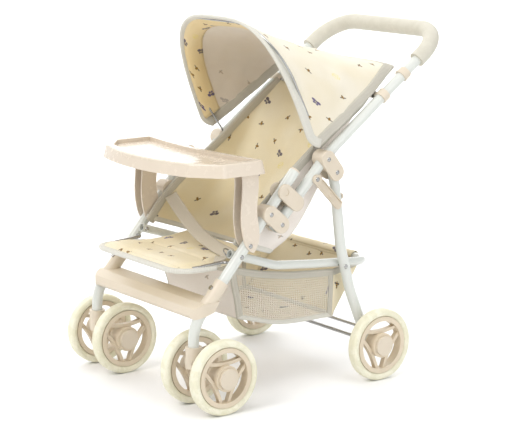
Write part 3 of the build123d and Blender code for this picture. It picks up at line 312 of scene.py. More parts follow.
# ---------------- materials
def new_material(name):
    material = bpy.data.materials.new(name)
    material.use_nodes = True
    tree = material.node_tree
    tree.nodes.clear()
    bench = Bench(tree)
    shader = bench.node("ShaderNodeBsdfPrincipled")
    output = bench.node("ShaderNodeOutputMaterial")
    tree.links.new(shader.outputs[0], output.inputs[0])
    return material, bench, shader


def use(bench, tree, inputs):
    """Places a shared effect with this material's own values."""
    return bench.node("ShaderNodeGroup", inputs, node_tree=tree).outputs


def bump(bench, shader, height, distance):
    normal = bench.node("ShaderNodeBump", {"Height": height, "Distance": distance, "Strength": 1.0})
    bench.feed(shader, {"Normal": normal.outputs[0]})


def hard_surface(name, colour, drift, roughness, marks=0.1, grain=900.0, depth=0.00004, **constants):
    """Paint, plastic or metal with its own drift, marks and grain."""
    material, bench, shader = new_material(name)
    where = bench.node("ShaderNodeTexCoord").outputs["Object"]
    surface = use(
        bench,
        HANDLED_SURFACE,
        {
            "Vector": where,
            "Colour": colour,
            "Drift colour": drift,
            "Marks": marks,
            "Roughness": roughness,
            "Grain size": grain,
        },
    )
    bench.feed(shader, {"Base Color": surface["Colour"], "Roughness": surface["Roughness"]})
    bench.feed(shader, {key.replace("_", " "): value for key, value in constants.items()})
    bump(bench, shader, surface["Height"], depth)
    return material


def printed_cloth(name, colour, second, strength=1.0, mapped=True, spacing=0.034, shown=0.62):
    """Woven cloth with the meadow print; mapped cloth reads its own map in metres."""
    material, bench, shader = new_material(name)
    if mapped:
        where = bench.node("ShaderNodeUVMap", uv_map="cloth").outputs[0]
    else:
        where = bench.node("ShaderNodeTexCoord").outputs["Object"]
    cloth = use(bench, WOVEN_CLOTH, {"Vector": where, "Colour": colour, "Second colour": second})
    printed = use(
        bench,
        MEADOW_PRINT,
        {
            "Vector": where,
            "Cloth colour": cloth["Colour"],
            "Strength": strength,
            "Spacing": spacing,
            "Share shown": shown,
        },
    )
    bench.feed(shader, {"Base Color": printed["Colour"], "Roughness": 0.82})
    bench.feed(shader, {"Sheen Weight": 0.18, "Sheen Roughness": 0.5})
    bump(bench, shader, cloth["Height"], 0.00014)
    return material


def webbing(name, colour, second, ribs=2400.0):
    """Narrow ribbed tape with a stitch line near its folded edge, and painted shade in the grooves between
    its ribs.
    """
    material, bench, shader = new_material(name)
    where = bench.node("ShaderNodeUVMap", uv_map="cloth").outputs[0]
    split = bench.node("ShaderNodeSeparateXYZ", {0: where}).outputs
    from_edge = bench.sum_of("ABSOLUTE", split["Y"])
    slant = bench.sum_of("ADD", split["X"], bench.sum_of("MULTIPLY", from_edge, 0.8))
    rib = bench.sum_of("SINE", bench.sum_of("MULTIPLY", slant, ribs))
    fluff = bench.noise(where, 500.0, 3.0)
    seam = use(bench, STITCH_LINE, {"Vector": where, "Line": 0.0022})
    # painted shade: the tape takes its darker second colour in the grooves between the ribs
    shade = bench.blend(bench.ramp(rib, -1.0, 0.6), second, colour)
    shade = bench.blend(bench.ramp(fluff, 0.35, 0.8), shade, second)
    shade = bench.blend(bench.sum_of("MULTIPLY", seam["Thread"], 0.5), shade, rgb(0.80, 0.76, 0.68))
    bench.feed(shader, {"Base Color": shade, "Roughness": 0.85, "Sheen Weight": 0.2})
    height = bench.sum_of("MULTIPLY_ADD", rib, 0.5, bench.sum_of("SUBTRACT", fluff, seam["Groove"]))
    bump(bench, shader, height, 0.00016)
    return material


def netting(name, colour):
    """Knitted net: round holes in a staggered grid."""
    material, bench, shader = new_material(name)
    where = bench.node("ShaderNodeUVMap", uv_map="cloth").outputs[0]
    cells = bench.node(
        "ShaderNodeTexVoronoi",
        {"Vector": where, "Scale": 270.0, "Randomness": 0.12},
        voronoi_dimensions="2D",
        feature="DISTANCE_TO_EDGE",
    ).outputs["Distance"]
    thread = bench.sum_of("SUBTRACT", 1.0, bench.ramp(cells, 0.075, 0.12))
    fluff = bench.noise(where, 900.0, 2.0)
    shade = bench.blend(fluff, colour, rgb(0.80, 0.76, 0.66))
    bench.feed(shader, {"Base Color": shade, "Alpha": thread, "Roughness": 0.75})
    bump(bench, shader, bench.sum_of("MULTIPLY_ADD", fluff, 0.3, cells), 0.0002)
    return material


def marbled_foam(name, light, dark, pore=1500.0):
    """Closed-cell foam with soft marbling and fine pores, darkened with painted shade in the pores."""
    material, bench, shader = new_material(name)
    where = bench.node("ShaderNodeTexCoord").outputs["Object"]
    warp = bench.node("ShaderNodeTexNoise", {"Vector": where, "Scale": 30.0, "Detail": 2.0}).outputs["Color"]
    bent = bench.node("ShaderNodeVectorMath", {0: warp, 3: 0.03}, operation="SCALE").outputs[0]
    bent = bench.node("ShaderNodeVectorMath", {0: where, 1: bent}, operation="ADD").outputs[0]
    swirl = bench.ramp(bench.noise(bent, 62.0, 3.0, 0.6), 0.42, 0.62)
    pores = bench.noise(where, pore, 2.0, 0.7)
    shade = bench.blend(swirl, dark, light)
    # painted shade: the colour darkens in the pores, where the bump dips, as if shade lay in them
    pore_shade = bench.sum_of("SUBTRACT", 1.0, bench.ramp(pores, 0.28, 0.42))
    shade = bench.blend(bench.sum_of("MULTIPLY", pore_shade, 0.35), shade, rgb(0.50, 0.47, 0.34))
    rough = bench.sum_of("MULTIPLY_ADD", pores, 0.15, 0.55)
    bench.feed(shader, {"Base Color": shade, "Roughness": rough})
    bump(bench, shader, bench.sum_of("MULTIPLY_ADD", swirl, 0.6, pores), 0.00018)
    return material


CREAM_PAINT = hard_surface(
    "cream_paint", rgb(0.67, 0.685, 0.64), rgb(0.64, 0.655, 0.61), 0.2, marks=0.05, grain=500.0,
    depth=0.00003, Coat_Weight=0.35, Coat_Roughness=0.12,
)
SAND_PLASTIC = hard_surface(
    "sand_plastic", rgb(0.69, 0.605, 0.485), rgb(0.65, 0.565, 0.445), 0.4, marks=0.08, grain=1400.0,
)
SHELL_PLASTIC = hard_surface(
    "shell_plastic", rgb(0.70, 0.61, 0.50), rgb(0.675, 0.585, 0.475), 0.26, marks=0.03, grain=300.0,
    depth=0.000012, Coat_Weight=0.3, Coat_Roughness=0.1,
)
WHEEL_PLASTIC = hard_surface(
    "wheel_plastic", rgb(0.70, 0.60, 0.455), rgb(0.66, 0.56, 0.42), 0.42, marks=0.1, grain=1200.0,
)
ZINC_STEEL = hard_surface(
    "zinc_steel", rgb(0.44, 0.44, 0.43), rgb(0.36, 0.36, 0.355), 0.24, marks=0.3, grain=2200.0, Metallic=1.0,
)
TYRE_FOAM = marbled_foam("tyre_foam", rgb(0.84, 0.81, 0.65), rgb(0.77, 0.74, 0.56))
GRIP_FOAM = marbled_foam("grip_foam", rgb(0.63, 0.60, 0.51), rgb(0.605, 0.575, 0.485), pore=2200.0)
SEAT_CLOTH = printed_cloth(
    "seat_cloth", rgb(0.84, 0.735, 0.50), rgb(0.885, 0.80, 0.60), spacing=0.040, shown=0.8
)
PAN_CLOTH = printed_cloth(
    "pan_cloth", rgb(0.84, 0.735, 0.50), rgb(0.89, 0.81, 0.62), mapped=False, spacing=0.036, shown=0.8
)
HOOD_CLOTH = printed_cloth(
    "hood_cloth", rgb(0.83, 0.75, 0.58), rgb(0.87, 0.81, 0.68), spacing=0.042, shown=0.8
)
HOOD_LINING = printed_cloth(
    "hood_lining", rgb(0.76, 0.68, 0.58), rgb(0.79, 0.72, 0.63), strength=0.45, spacing=0.05
)
FACING_CLOTH = printed_cloth(
    "facing_cloth", rgb(0.82, 0.65, 0.35), rgb(0.85, 0.70, 0.43), spacing=0.030, shown=0.9
)
PLAIN_CLOTH = printed_cloth(
    "basket_front_cloth", rgb(0.84, 0.77, 0.70), rgb(0.87, 0.81, 0.75), strength=0.5, spacing=0.06
)
BASKET_CLOTH = printed_cloth(
    "basket_cloth", rgb(0.82, 0.72, 0.58), rgb(0.85, 0.77, 0.65), spacing=0.045, shown=0.7
)
GREY_TAPE = webbing("grey_tape", rgb(0.57, 0.54, 0.46), rgb(0.49, 0.46, 0.39))
PALE_TAPE = webbing("pale_tape", rgb(0.70, 0.68, 0.61), rgb(0.62, 0.60, 0.53))
STRAP_TAPE = webbing("strap_tape", rgb(0.66, 0.60, 0.49), rgb(0.58, 0.52, 0.41), ribs=3600.0)
NET = netting("net", rgb(0.74, 0.69, 0.59))

NODE_FINISH = {
    CREAM_PAINT: (
        "front_tube_left", "front_tube_right", "handle_tube", "rear_leg_left", "rear_leg_right", "side_rail",
    ),
    SHELL_PLASTIC: ("tray", "tray_arm_left", "tray_arm_right"),
    GRIP_FOAM: ("handle_grip",),
    ZINC_STEEL: (
        "frame_rivets", "frame_pivot_pins", "handle_pivot_pins", "hood_clip_screws", "leg_rivets",
        "rail_rivets", "seat_loop", "back_rod", "hood_wire", "cross_rod", "rear_axle", "caster_stems",
        "front_axle_left", "front_axle_right",
    ),
}


def finish_nodes():
    """Gives every CAD node its own finish."""
    chosen = {name: material for material, names in NODE_FINISH.items() for name in names}
    for name, node in NODES.items():
        if name.startswith("tyre"):
            material = TYRE_FOAM
        elif name.startswith("rim"):
            material = WHEEL_PLASTIC
        else:
            material = chosen.get(name, SAND_PLASTIC)
        node.data.materials.clear()
        node.data.materials.append(material)


finish_nodes()


# ---------------- making cloth pieces
def evenly(points, count):
    """count points spread evenly along a line of points."""
    lengths = [0.0]
    for a, b in zip(points, points[1:]):
        lengths.append(lengths[-1] + (b - a).length)
    out, at = [], 0
    for i in range(count):
        want = lengths[-1] * i / (count - 1)
        while at < len(lengths) - 2 and lengths[at + 1] < want:
            at += 1
        span = lengths[at + 1] - lengths[at]
        share = 0.0 if span == 0 else (want - lengths[at]) / span
        out.append(points[at].lerp(points[at + 1], min(max(share, 0.0), 1.0)))
    return out


def through(values, t):
    """A smooth value at t, from 0 to 1, through evenly spaced numbers or vectors."""
    last = len(values) - 1
    at = min(int(t * last), last - 1)
    s = t * last - at
    p1, p2 = values[at], values[at + 1]
    p0 = values[at - 1] if at > 0 else p1 * 2 - p2
    p3 = values[at + 2] if at + 2 <= last else p2 * 2 - p1
    return (
        p1 * 2
        + (p2 - p0) * s
        + (p0 * 2 - p1 * 5 + p2 * 4 - p3) * (s * s)
        + (p1 * 3 - p0 - p2 * 3 + p3) * (s * s * s)
    ) * 0.5


def new_piece(name, mesh, *materials):
    """A smooth-shaded piece with its materials."""
    piece = bpy.data.objects.new(name, mesh)
    bpy.context.scene.collection.objects.link(piece)
    for material in materials:
        mesh.materials.append(material)
    mesh.polygons.foreach_set("use_smooth", [True] * len(mesh.polygons))
    return piece


def settle(piece):
    """Applies the piece's modifiers for good."""
    bpy.context.view_layer.update()
    depsgraph = bpy.context.evaluated_depsgraph_get()
    mesh = bpy.data.meshes.new_from_object(piece.evaluated_get(depsgraph))
    piece.modifiers.clear()
    piece.data = mesh
    return piece


def cloth_grid(name, rows, thickness, *materials, lining=False):
    """A sheet through rows of points, mapped in metres, with a real thickness.

    With lining, the second material is on the other face.
    """
    mesh = bpy.data.meshes.new(name)
    width = len(rows[0])
    points = [p for row in rows for p in row]
    faces = [
        (r * width + c, r * width + c + 1, (r + 1) * width + c + 1, (r + 1) * width + c)
        for r in range(len(rows) - 1)
        for c in range(width - 1)
    ]
    mesh.from_pydata(points, [], faces)
    middle = width // 2
    down = [0.0]
    for a, b in zip(rows, rows[1:]):
        down.append(down[-1] + (b[middle] - a[middle]).length)
    across = []
    for row in rows:
        line = [0.0]
        for a, b in zip(row, row[1:]):
            line.append(line[-1] + (b - a).length)
        across.append([value - line[middle] for value in line])
    cloth_map = mesh.uv_layers.new(name="cloth")
    for loop in mesh.loops:
        r, c = divmod(loop.vertex_index, width)
        cloth_map.data[loop.index].uv = (across[r][c], down[r])
    piece = new_piece(name, mesh, *materials)
    solid = piece.modifiers.new("thickness", "SOLIDIFY")
    solid.thickness = thickness
    solid.offset = 0.0
    if lining:
        solid.material_offset = 1
    return piece


def tape(name, line, inward, width, thick, material, overhang=0.0012):
    """Binding folded over a cloth's edge: a flat band along the line that reaches width inward."""
    mesh = bpy.data.meshes.new(name)
    count = len(line)
    profile = [
        (-overhang, 0.0),
        (-overhang * 0.4, 0.5),
        (width * 0.15, 0.62),
        (width * 0.85, 0.55),
        (width, 0.3),
    ]
    section = profile + [(u, -v) for u, v in reversed(profile) if v > 0]
    points, around, travelled = [], len(section), [0.0]
    for i in range(count):
        ahead = line[min(i + 1, count - 1)] - line[max(i - 1, 0)]
        ahead.normalize()
        into = inward[i] - ahead * inward[i].dot(ahead)
        into.normalize()
        up = ahead.cross(into)
        for u, v in section:
            points.append(line[i] + into * u + up * (v * thick))
        if i:
            travelled.append(travelled[-1] + (line[i] - line[i - 1]).length)
    faces = []
    for i in range(count - 1):
        here, ahead = i * around, (i + 1) * around
        for k in range(around):
            n = (k + 1) % around
            faces.append((here + k, ahead + k, ahead + n, here + n))
    faces += [tuple(reversed(range(around))), tuple((count - 1) * around + k for k in range(around))]
    mesh.from_pydata(points, [], faces)
    cloth_map = mesh.uv_layers.new(name="cloth")
    for loop in mesh.loops:
        i, k = divmod(loop.vertex_index, around)
        cloth_map.data[loop.index].uv = (travelled[i], section[k][0])
    bm = bmesh.new()
    bm.from_mesh(mesh)
    bmesh.ops.recalc_face_normals(bm, faces=bm.faces)
    bm.to_mesh(mesh)
    bm.free()
    return new_piece(name, mesh, material)


def border(across, along):
    """An edge of a surface: a place on it and one just inside, for each share t of its length."""

    def at(t):
        return tuple((t if u is None else u, t if v is None else v) for u, v in zip(across, along))

    return at


START_EDGE = border((None, None), (0.0, 0.05))
END_EDGE = border((None, None), (1.0, 0.95))
LEFT_EDGE = border((0.0, 0.03), (None, None))
RIGHT_EDGE = border((1.0, 0.97), (None, None))
FRONT_EDGE = border((0.0, 0.05), (None, None))
REAR_EDGE = border((1.0, 0.95), (None, None))
FOOT_EDGE = border((None, None), (0.0, 0.03))


def edge_tape(name, surface, edge, width, thick, material, samples=90, overhang=0.0012):
    """Tape along edge(t), which gives a surface's (u, v) on its border and just inside it."""
    line, inward = [], []
    for i in range(samples + 1):
        on, inside = edge(i / samples)
        start = surface(*on)
        line.append(start)
        inward.append(surface(*inside) - start)
    return tape(name, line, inward, width, thick, material, overhang)


def ruffle(point, size, height):
    """A small smooth shift that differs from place to place."""
    return noise.noise(point * (1.0 / size)) * height


# ---------------- hood
HOOD_BASE = [Vector((0, -111, 357)), Vector((0, -18, 417)), Vector((0, 56, 471))]
HOOD_TOP = [Vector((0, -190, 551)), Vector((0, -73, 511)), Vector((0, 52, 477))]
HOOD_HALF_W = [139.0, 134.0, 122.0]
HOOD_SQUARENESS = [3.3, 2.9, 2.6]
HOOD_SHEET_T = 0.0014
HOOD_COLUMNS = 96
HOOD_ROWS = 26
HOOD_CORNER_RUN = 0.045  # share of the front edge that each round corner takes
HOOD_CORNER_CUT = 0.07  # share of the hood's length that it cuts off
FACING_INSET = 0.03
FACING_REACH = 0.15
ARCH_STEPS = 240
hood_sections = {}


def arch_section(half_w, base, top, squareness, depth_gain=0.0):
    """Evenly spaced points from the left foot over the arch to the right foot."""
    points = []
    for i in range(ARCH_STEPS + 1):
        turn = math.pi * i / ARCH_STEPS
        x = math.copysign(abs(math.cos(turn)) ** (2 / squareness), math.cos(turn))
        rise = math.sin(turn) ** (2 / squareness)
        rise += depth_gain * math.sin(turn) ** 2
        middle = base.lerp(top, rise)
        points.append(spot(half_w * x, middle.y, middle.z))
    return evenly(points, ARCH_STEPS + 1)


def between(points, s):
    """The position a share s of the way through a list of points."""
    at = min(max(s, 0.0), 1.0) * (len(points) - 1)
    low = min(int(at), len(points) - 2)
    return points[low].lerp(points[low + 1], at - low)


def hood_corner(s):
    """How far back the front edge starts: the two lower front corners are round."""
    foot = min(s, 1.0 - s)
    return HOOD_CORNER_CUT * max(0.0, 1.0 - foot / HOOD_CORNER_RUN) ** 2


def hood(s, v):
    """The hood's cloth: s from the left hem over to the right hem, v from the bow to the rear."""
    start = hood_corner(s)
    v = start + (1.0 - start) * v
    key = round(v, 5)
    if key not in hood_sections:
        hood_sections[key] = arch_section(
            through(HOOD_HALF_W, v),
            through(HOOD_BASE, v),
            through(HOOD_TOP, v),
            through(HOOD_SQUARENESS, v),
        )
    point = between(hood_sections[key], s)
    slack = math.sin(math.pi * v)
    crown = math.sin(math.pi * s)
    sag = slack * (2.0 + 2.5 * crown)
    pucker = ruffle(Vector((point.x * 0.5, point.y * 1.4, point.z)), 0.035, 3.0) * slack
    pucker += ruffle(point, 0.014, 0.9) * (0.25 + slack)
    middle = spot(0, *through(HOOD_BASE, v).yz)
    return point + (middle - point).normalized() * ((sag + pucker) * MM)


def surface_rows(surface, rows, columns):
    """Points over a whole surface(across, along), each from 0 to 1."""
    return [[surface(c / columns, r / rows) for c in range(columns + 1)] for r in range(rows + 1)]


shell = cloth_grid(
    "hood_shell",
    surface_rows(hood, HOOD_ROWS, HOOD_COLUMNS),
    HOOD_SHEET_T,
    HOOD_LINING,
    HOOD_CLOTH,
    lining=True,
)


def hood_facing_rows():
    """The band of cloth inside the bow, which stands off the shell where the wire runs."""
    rows, steps = [], 6
    middle = spot(0, -120, 420)
    for r in range(steps + 1):
        share = r / steps
        row = []
        for c in range(HOOD_COLUMNS + 1):
            s = FACING_INSET + 0.94 * c / HOOD_COLUMNS
            point = hood(s, 0.012 + FACING_REACH * share)
            lift = 1.6 + 5.5 * math.sin(math.pi * min(share * 1.1, 1.0)) ** 0.7
            row.append(point + (middle - point).normalized() * lift * MM)
        rows.append(row)
    return rows


facing = cloth_grid("hood_facing", hood_facing_rows(), 0.0009, FACING_CLOTH)
hood_tapes = [
    edge_tape("hood_front_tape", hood, START_EDGE, 0.0125, 0.0042, PALE_TAPE, 220, 0.002),
    edge_tape("hood_rear_tape", hood, END_EDGE, 0.008, 0.0028, GREY_TAPE, 80),
    edge_tape("hood_side_hem_left", hood, LEFT_EDGE, 0.015, 0.0034, GREY_TAPE, 70),
    edge_tape("hood_side_hem_right", hood, RIGHT_EDGE, 0.015, 0.0034, GREY_TAPE, 70),
]
for piece in [shell, facing, *hood_tapes]:
    settle(piece)

# ---------------- seat back
BACK_EDGE = [
    Vector((0, -238, 233)),
    Vector((0, -206, 270)),
    Vector((0, -160, 310)),
    Vector((0, -106, 350)),
    Vector((0, -50, 393)),
    Vector((0, 12, 436)),
]
BACK_FOLD = [
    Vector((0, -158, 206)),
    Vector((0, -122, 234)),
    Vector((0, -90, 278)),
    Vector((0, -54, 327)),
    Vector((0, -24, 378)),
    Vector((0, 20, 428)),
]
BACK_HALF_W = [118.0, 118.5, 116.0, 111.5, 114.0, 116.0]
BACK_CORNER = [6.0, 8.0, 9.0, 8.0, 6.0, 3.5]
BACK_BELLY = 0.05
BACK_ROWS = 40
BACK_COLUMNS = 72
back_sections = {}


def seat_back(s, v):
    """The sling seat: s from the left edge round to the right edge, v from the seat up to the rod."""
    key = round(v, 5)
    if key not in back_sections:
        back_sections[key] = arch_section(
            through(BACK_HALF_W, v),
            through(BACK_EDGE, v),
            through(BACK_FOLD, v),
            through(BACK_CORNER, v),
            BACK_BELLY,
        )
    point = between(back_sections[key], s)
    slack = math.sin(math.pi * v) * math.sin(math.pi * s)
    inwards = (spot(0, *through(BACK_EDGE, v).yz) - point).normalized()
    fold = ruffle(Vector((point.x, point.y * 0.4, point.z * 0.4)), 0.03, 2.6) + ruffle(point, 0.012, 0.8)
    return point + inwards * (fold * (0.3 + slack) - 4.0 * slack) * MM


back = cloth_grid(
    "seat_back_cloth",
    surface_rows(seat_back, BACK_ROWS, BACK_COLUMNS),
    0.0018,
    PLAIN_CLOTH,
    SEAT_CLOTH,
    lining=True,
)
back_tapes = [
    edge_tape("seat_back_edge_left", seat_back, LEFT_EDGE, 0.013, 0.0036, GREY_TAPE),
    edge_tape("seat_back_edge_right", seat_back, RIGHT_EDGE, 0.013, 0.0036, GREY_TAPE),
    edge_tape("seat_back_foot", seat_back, FOOT_EDGE, 0.007, 0.003, PALE_TAPE, 140),
]


SLEEVE_SIDES = 14


def sleeve(name, line, radius, material):
    """Cloth sewn into a tube round a rod or rail, open at both ends."""
    rows = []
    for i, point in enumerate(line):
        ahead = (line[min(i + 1, len(line) - 1)] - line[max(i - 1, 0)]).normalized()
        up = Vector((0, 0, 1))
        sideways = ahead.cross(up).normalized()
        up = sideways.cross(ahead)
        row = []
        for k in range(SLEEVE_SIDES + 1):
            turn = 2 * math.pi * k / SLEEVE_SIDES
            wrinkle = 1.0 + 0.07 * noise.noise(point * 60.0 + Vector((0, math.cos(turn), math.sin(turn))))
            row.append(
                point
                + sideways * (radius * wrinkle * math.cos(turn))
                + up * (radius * wrinkle * math.sin(turn))
            )
        rows.append(row)
    return cloth_grid(name, rows, 0.0009, material)


rod_low, rod_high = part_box("back_rod")
rod_y, rod_z = (rod_low.y + rod_high.y) / 2, (rod_low.z + rod_high.z) / 2
rod_line = [Vector((-0.113 + 0.226 * i / 44, rod_y, rod_z)) for i in range(45)]
back_sleeve = sleeve("seat_back_sleeve", rod_line, 0.0056, GREY_TAPE)
for piece in [back, *back_tapes, back_sleeve]:
    settle(piece)

# ---------------- seat pan
PAN_FRONT, PAN_REAR = -337.0, -166.0
PAN_STEP, PAN_WAIST = -272.0, -256.0
PAN_WIDE, PAN_NARROW = 119.0, 104.0
PAN_CORNER_R = 34.0
PAN_SEAM = 15.0  # from the edge in to the sewn seam
PAN_CREASE = -268.0  # where a second seam runs across
PAN_ROWS, PAN_COLUMNS = 40, 48
PAN_ROLL = 10.0  # width of the pad's rounded rim
PUFF_FRAMES = 20


def pan_half_w(y):
    """Half the seat pan's width, with round front corners and a step where it passes the tubes."""
    half = PAN_WIDE
    into = y - PAN_FRONT
    if into < PAN_CORNER_R:
        half -= PAN_CORNER_R - math.sqrt(max(0.0, PAN_CORNER_R**2 - (PAN_CORNER_R - into) ** 2))
    step = min(max((y - PAN_STEP) / (PAN_WAIST - PAN_STEP), 0.0), 1.0)
    return half - (PAN_WIDE - PAN_NARROW) * (step * step * (3 - 2 * step))


def pan_middle_z(y):
    """Height of the pad's middle: it dips a little behind the front wire."""
    share = (y - PAN_FRONT) / (PAN_REAR - PAN_FRONT)
    return 202.5 + 4.0 * share - 3.0 * math.sin(math.pi * share)


def seat_pad():
    """A closed pad, puffed by a cloth simulation, then sewn down along a seam near its edge."""
    bm = bmesh.new()
    rows, columns = PAN_ROWS, PAN_COLUMNS
    layers = []
    for face_side in (1, -1):
        layer = []
        for r in range(rows + 1):
            y = PAN_FRONT + (PAN_REAR - PAN_FRONT) * (0.5 - 0.5 * math.cos(math.pi * r / rows))
            half = max(pan_half_w(y), 1.0)
            line = []
            for c in range(columns + 1):
                x = half * math.sin(math.pi * (c / columns - 0.5))
                inset = min(half - abs(x), y - PAN_FRONT, PAN_REAR - y)
                rim = min(inset / PAN_ROLL, 1.0)
                thick = 1.0 + 3.6 * math.sqrt(max(0.0, 1 - (1 - rim) ** 2))
                line.append(bm.verts.new(spot(x, y, pan_middle_z(y) + face_side * thick)))
            layer.append(line)
        layers.append(layer)
        for r in range(rows):
            for c in range(columns):
                quad = [layer[r][c], layer[r][c + 1], layer[r + 1][c + 1], layer[r + 1][c]]
                bm.faces.new(quad if face_side > 0 else quad[::-1])
    rim_steps = [(r, 0) for r in range(rows)] + [(rows, c) for c in range(columns)]
    rim_steps += [(r, columns) for r in range(rows, 0, -1)] + [(0, c) for c in range(columns, 0, -1)]
    upper, lower = layers
    for (r, c), (next_r, next_c) in zip(rim_steps, rim_steps[1:] + rim_steps[:1]):
        bm.faces.new([upper[r][c], upper[next_r][next_c], lower[next_r][next_c], lower[r][c]])
    bmesh.ops.recalc_face_normals(bm, faces=bm.faces)
    mesh = bpy.data.meshes.new("seat_pad")
    bm.to_mesh(mesh)
    bm.free()
    return new_piece("seat_pad", mesh, PAN_CLOTH)


def puff(pad, voxel, pressure, cap):
    """Remeshes a closed pad and blows it up a little, no vertex moving further than cap."""
    remesh = pad.modifiers.new("even", "REMESH")
    remesh.mode = "VOXEL"
    remesh.voxel_size = voxel
    settle(pad)
    start = [v.co.copy() for v in pad.data.vertices]
    cloth = pad.modifiers.new("air", "CLOTH")
    cloth.settings.quality = 5
    cloth.settings.use_pressure = True
    cloth.settings.uniform_pressure_force = pressure
    cloth.settings.effector_weights.gravity = 0.0
    cloth.point_cache.frame_start, cloth.point_cache.frame_end = 1, PUFF_FRAMES
    for step in range(1, PUFF_FRAMES + 1):
        bpy.context.scene.frame_set(step)
    settle(pad)
    for vertex, before in zip(pad.data.vertices, start):
        move = vertex.co - before
        if move.length > cap:
            vertex.co = before + move * (cap / move.length)
    bpy.context.scene.frame_set(1)
    smooth = pad.modifiers.new("round", "SMOOTH")
    smooth.iterations = 4
    smooth.factor = 0.5
    settle(pad)
    fine = pad.modifiers.new("fine", "SUBSURF")
    fine.levels = fine.render_levels = 1
    settle(pad)


pad = seat_pad()
puff(pad, 0.005, 4.0, 0.0045)


def sew_pan_seam(piece):
    """Pulls the pad in along a seam that follows its edge, and dimples it lightly elsewhere."""
    for vertex in piece.data.vertices:
        x, y = vertex.co.x / MM, (vertex.co.y - REAR_AXLE_Y) / MM
        middle = pan_middle_z(y) * MM
        inset = min(pan_half_w(y) - abs(x), y - PAN_FRONT)
        groove = math.exp(-(((inset - PAN_SEAM) / 2.2) ** 2)) * 0.42
        cross = math.exp(-(((y - PAN_CREASE) / 2.6) ** 2)) * 0.35
        vertex.co.z = middle + (vertex.co.z - middle) * (1.0 - max(groove, cross))
        vertex.co.z += ruffle(vertex.co, 0.022, 1.1) * MM
    for polygon in piece.data.polygons:
        polygon.use_smooth = True


sew_pan_seam(pad)


def pan_edge_line():
    """The pad's free edge, from the rear left round the front to the rear right."""
    points = []
    start = PAN_WAIST + 4
    for i in range(60):
        y = start - (start - PAN_FRONT) * math.sin(math.pi / 2 * i / 59)
        points.append(spot(pan_half_w(y), y, pan_middle_z(y)))
    points += [Vector((-p.x, p.y, p.z)) for p in reversed(points)]
    return evenly(points, 170)


pan_line = pan_edge_line()
pan_middle = spot(0, -250, 204)
pan_inward = [(pan_middle - point).normalized() for point in pan_line]
pan_tape = tape("seat_pan_binding", pan_line, pan_inward, 0.0075, 0.0058, PALE_TAPE, 0.0018)
for piece in (pad, pan_tape):
    settle(piece)


# ---------------- lap strap
STRAP_STEPS = 60
STRAP_T = 0.0018
RING_TURNS, RING_SIDES = 40, 10


def strap(name, points, width):
    """A flat strap whose middle follows the points."""
    line = evenly([through(points, i / 120) for i in range(121)], STRAP_STEPS)
    inward = []
    for i in range(STRAP_STEPS):
        ahead = (line[min(i + 1, STRAP_STEPS - 1)] - line[max(i - 1, 0)]).normalized()
        inward.append(ahead.cross(Vector((0, -0.55, 1)).normalized()).normalized())
    start = [p - n * width / 2 for p, n in zip(line, inward)]
    return tape(name, start, inward, width, STRAP_T, STRAP_TAPE, 0.0)


lap_strap = strap(
    "lap_strap",
    [
        spot(-113, -196, 266),
        spot(-60, -208, 246),
        spot(0, -222, 229),
        spot(58, -231, 219),
        spot(101, -236, 216),
    ],
    0.020,
)
strap_tail = strap(
    "strap_tail",
    [spot(99, -240, 214), spot(101, -246, 211), spot(99, -251, 209), spot(94, -256, 208.5)],
    0.016,
)


def steel_ring(name, centre, radius, wire, lean):
    """A welded wire ring for the strap's end."""
    mesh = bpy.data.meshes.new(name)
    points, faces = [], []
    for i in range(RING_TURNS):
        a = 2 * math.pi * i / RING_TURNS
        for k in range(RING_SIDES):
            b = 2 * math.pi * k / RING_SIDES
            out = radius + wire * math.cos(b)
            local = Vector((out * math.cos(a), wire * math.sin(b), out * math.sin(a)))
            local.rotate(lean)
            points.append(centre + local)
    for i in range(RING_TURNS):
        here, ahead = i * RING_SIDES, (i + 1) % RING_TURNS * RING_SIDES
        for k in range(RING_SIDES):
            n = (k + 1) % RING_SIDES
            faces.append((here + k, here + n, ahead + n, ahead + k))
    mesh.from_pydata(points, [], faces)
    return new_piece(name, mesh, ZINC_STEEL)


ring_lean = Vector((0.9, 0.5, 1)).to_track_quat("Y", "Z").to_euler()
ring = steel_ring("strap_ring", spot(105, -239, 217), 0.0085, 0.0011, ring_lean)
for piece in (lap_strap, strap_tail, ring):
    settle(piece)

# ---------------- basket
BASKET_TOP = [Vector((95, -230, 194)), Vector((104, -150, 181)), Vector((116, -53, 170))]
BASKET_FLOOR = [Vector((89, -212, 112)), Vector((98, -140, 92)), Vector((112, -53, 96))]
BASKET_HEM = (104.0, 10.0, 177.0)


def mirrored(vector, side):
    """A place given for the left, on the left or the right."""
    return spot(vector.x * side, vector.y, vector.z)


def basket_side(side, u, v):
    """A side wall: u from front to rear, v from its top edge down."""
    top, low = through(BASKET_TOP, u), through(BASKET_FLOOR, u)
    point = top.lerp(low, v)
    belly = math.sin(math.pi * u) * math.sin(math.pi * min(v * 1.15, 1.0))
    point.x += 7.0 * belly
    point.z -= 4.5 * math.sin(math.pi * u) * (1 - v) - 3.0 * math.sin(math.pi * u) * v
    place = mirrored(point, side)
    return place + Vector((side, 0, 0)) * (ruffle(place, 0.03, 2.4) * MM)


def basket_front(s, v):
    """The front wall: s from left to right, v from the top down."""
    left, right = basket_side(1, 0.0, v), basket_side(-1, 0.0, v)
    point = left.lerp(right, s)
    belly = math.sin(math.pi * s)
    forward = 9.0 * belly * (0.4 + 0.6 * math.sin(math.pi * v)) + ruffle(point, 0.04, 2.6) * belly
    return point + Vector((0, -forward, -3.0 * belly * (1 - v))) * MM


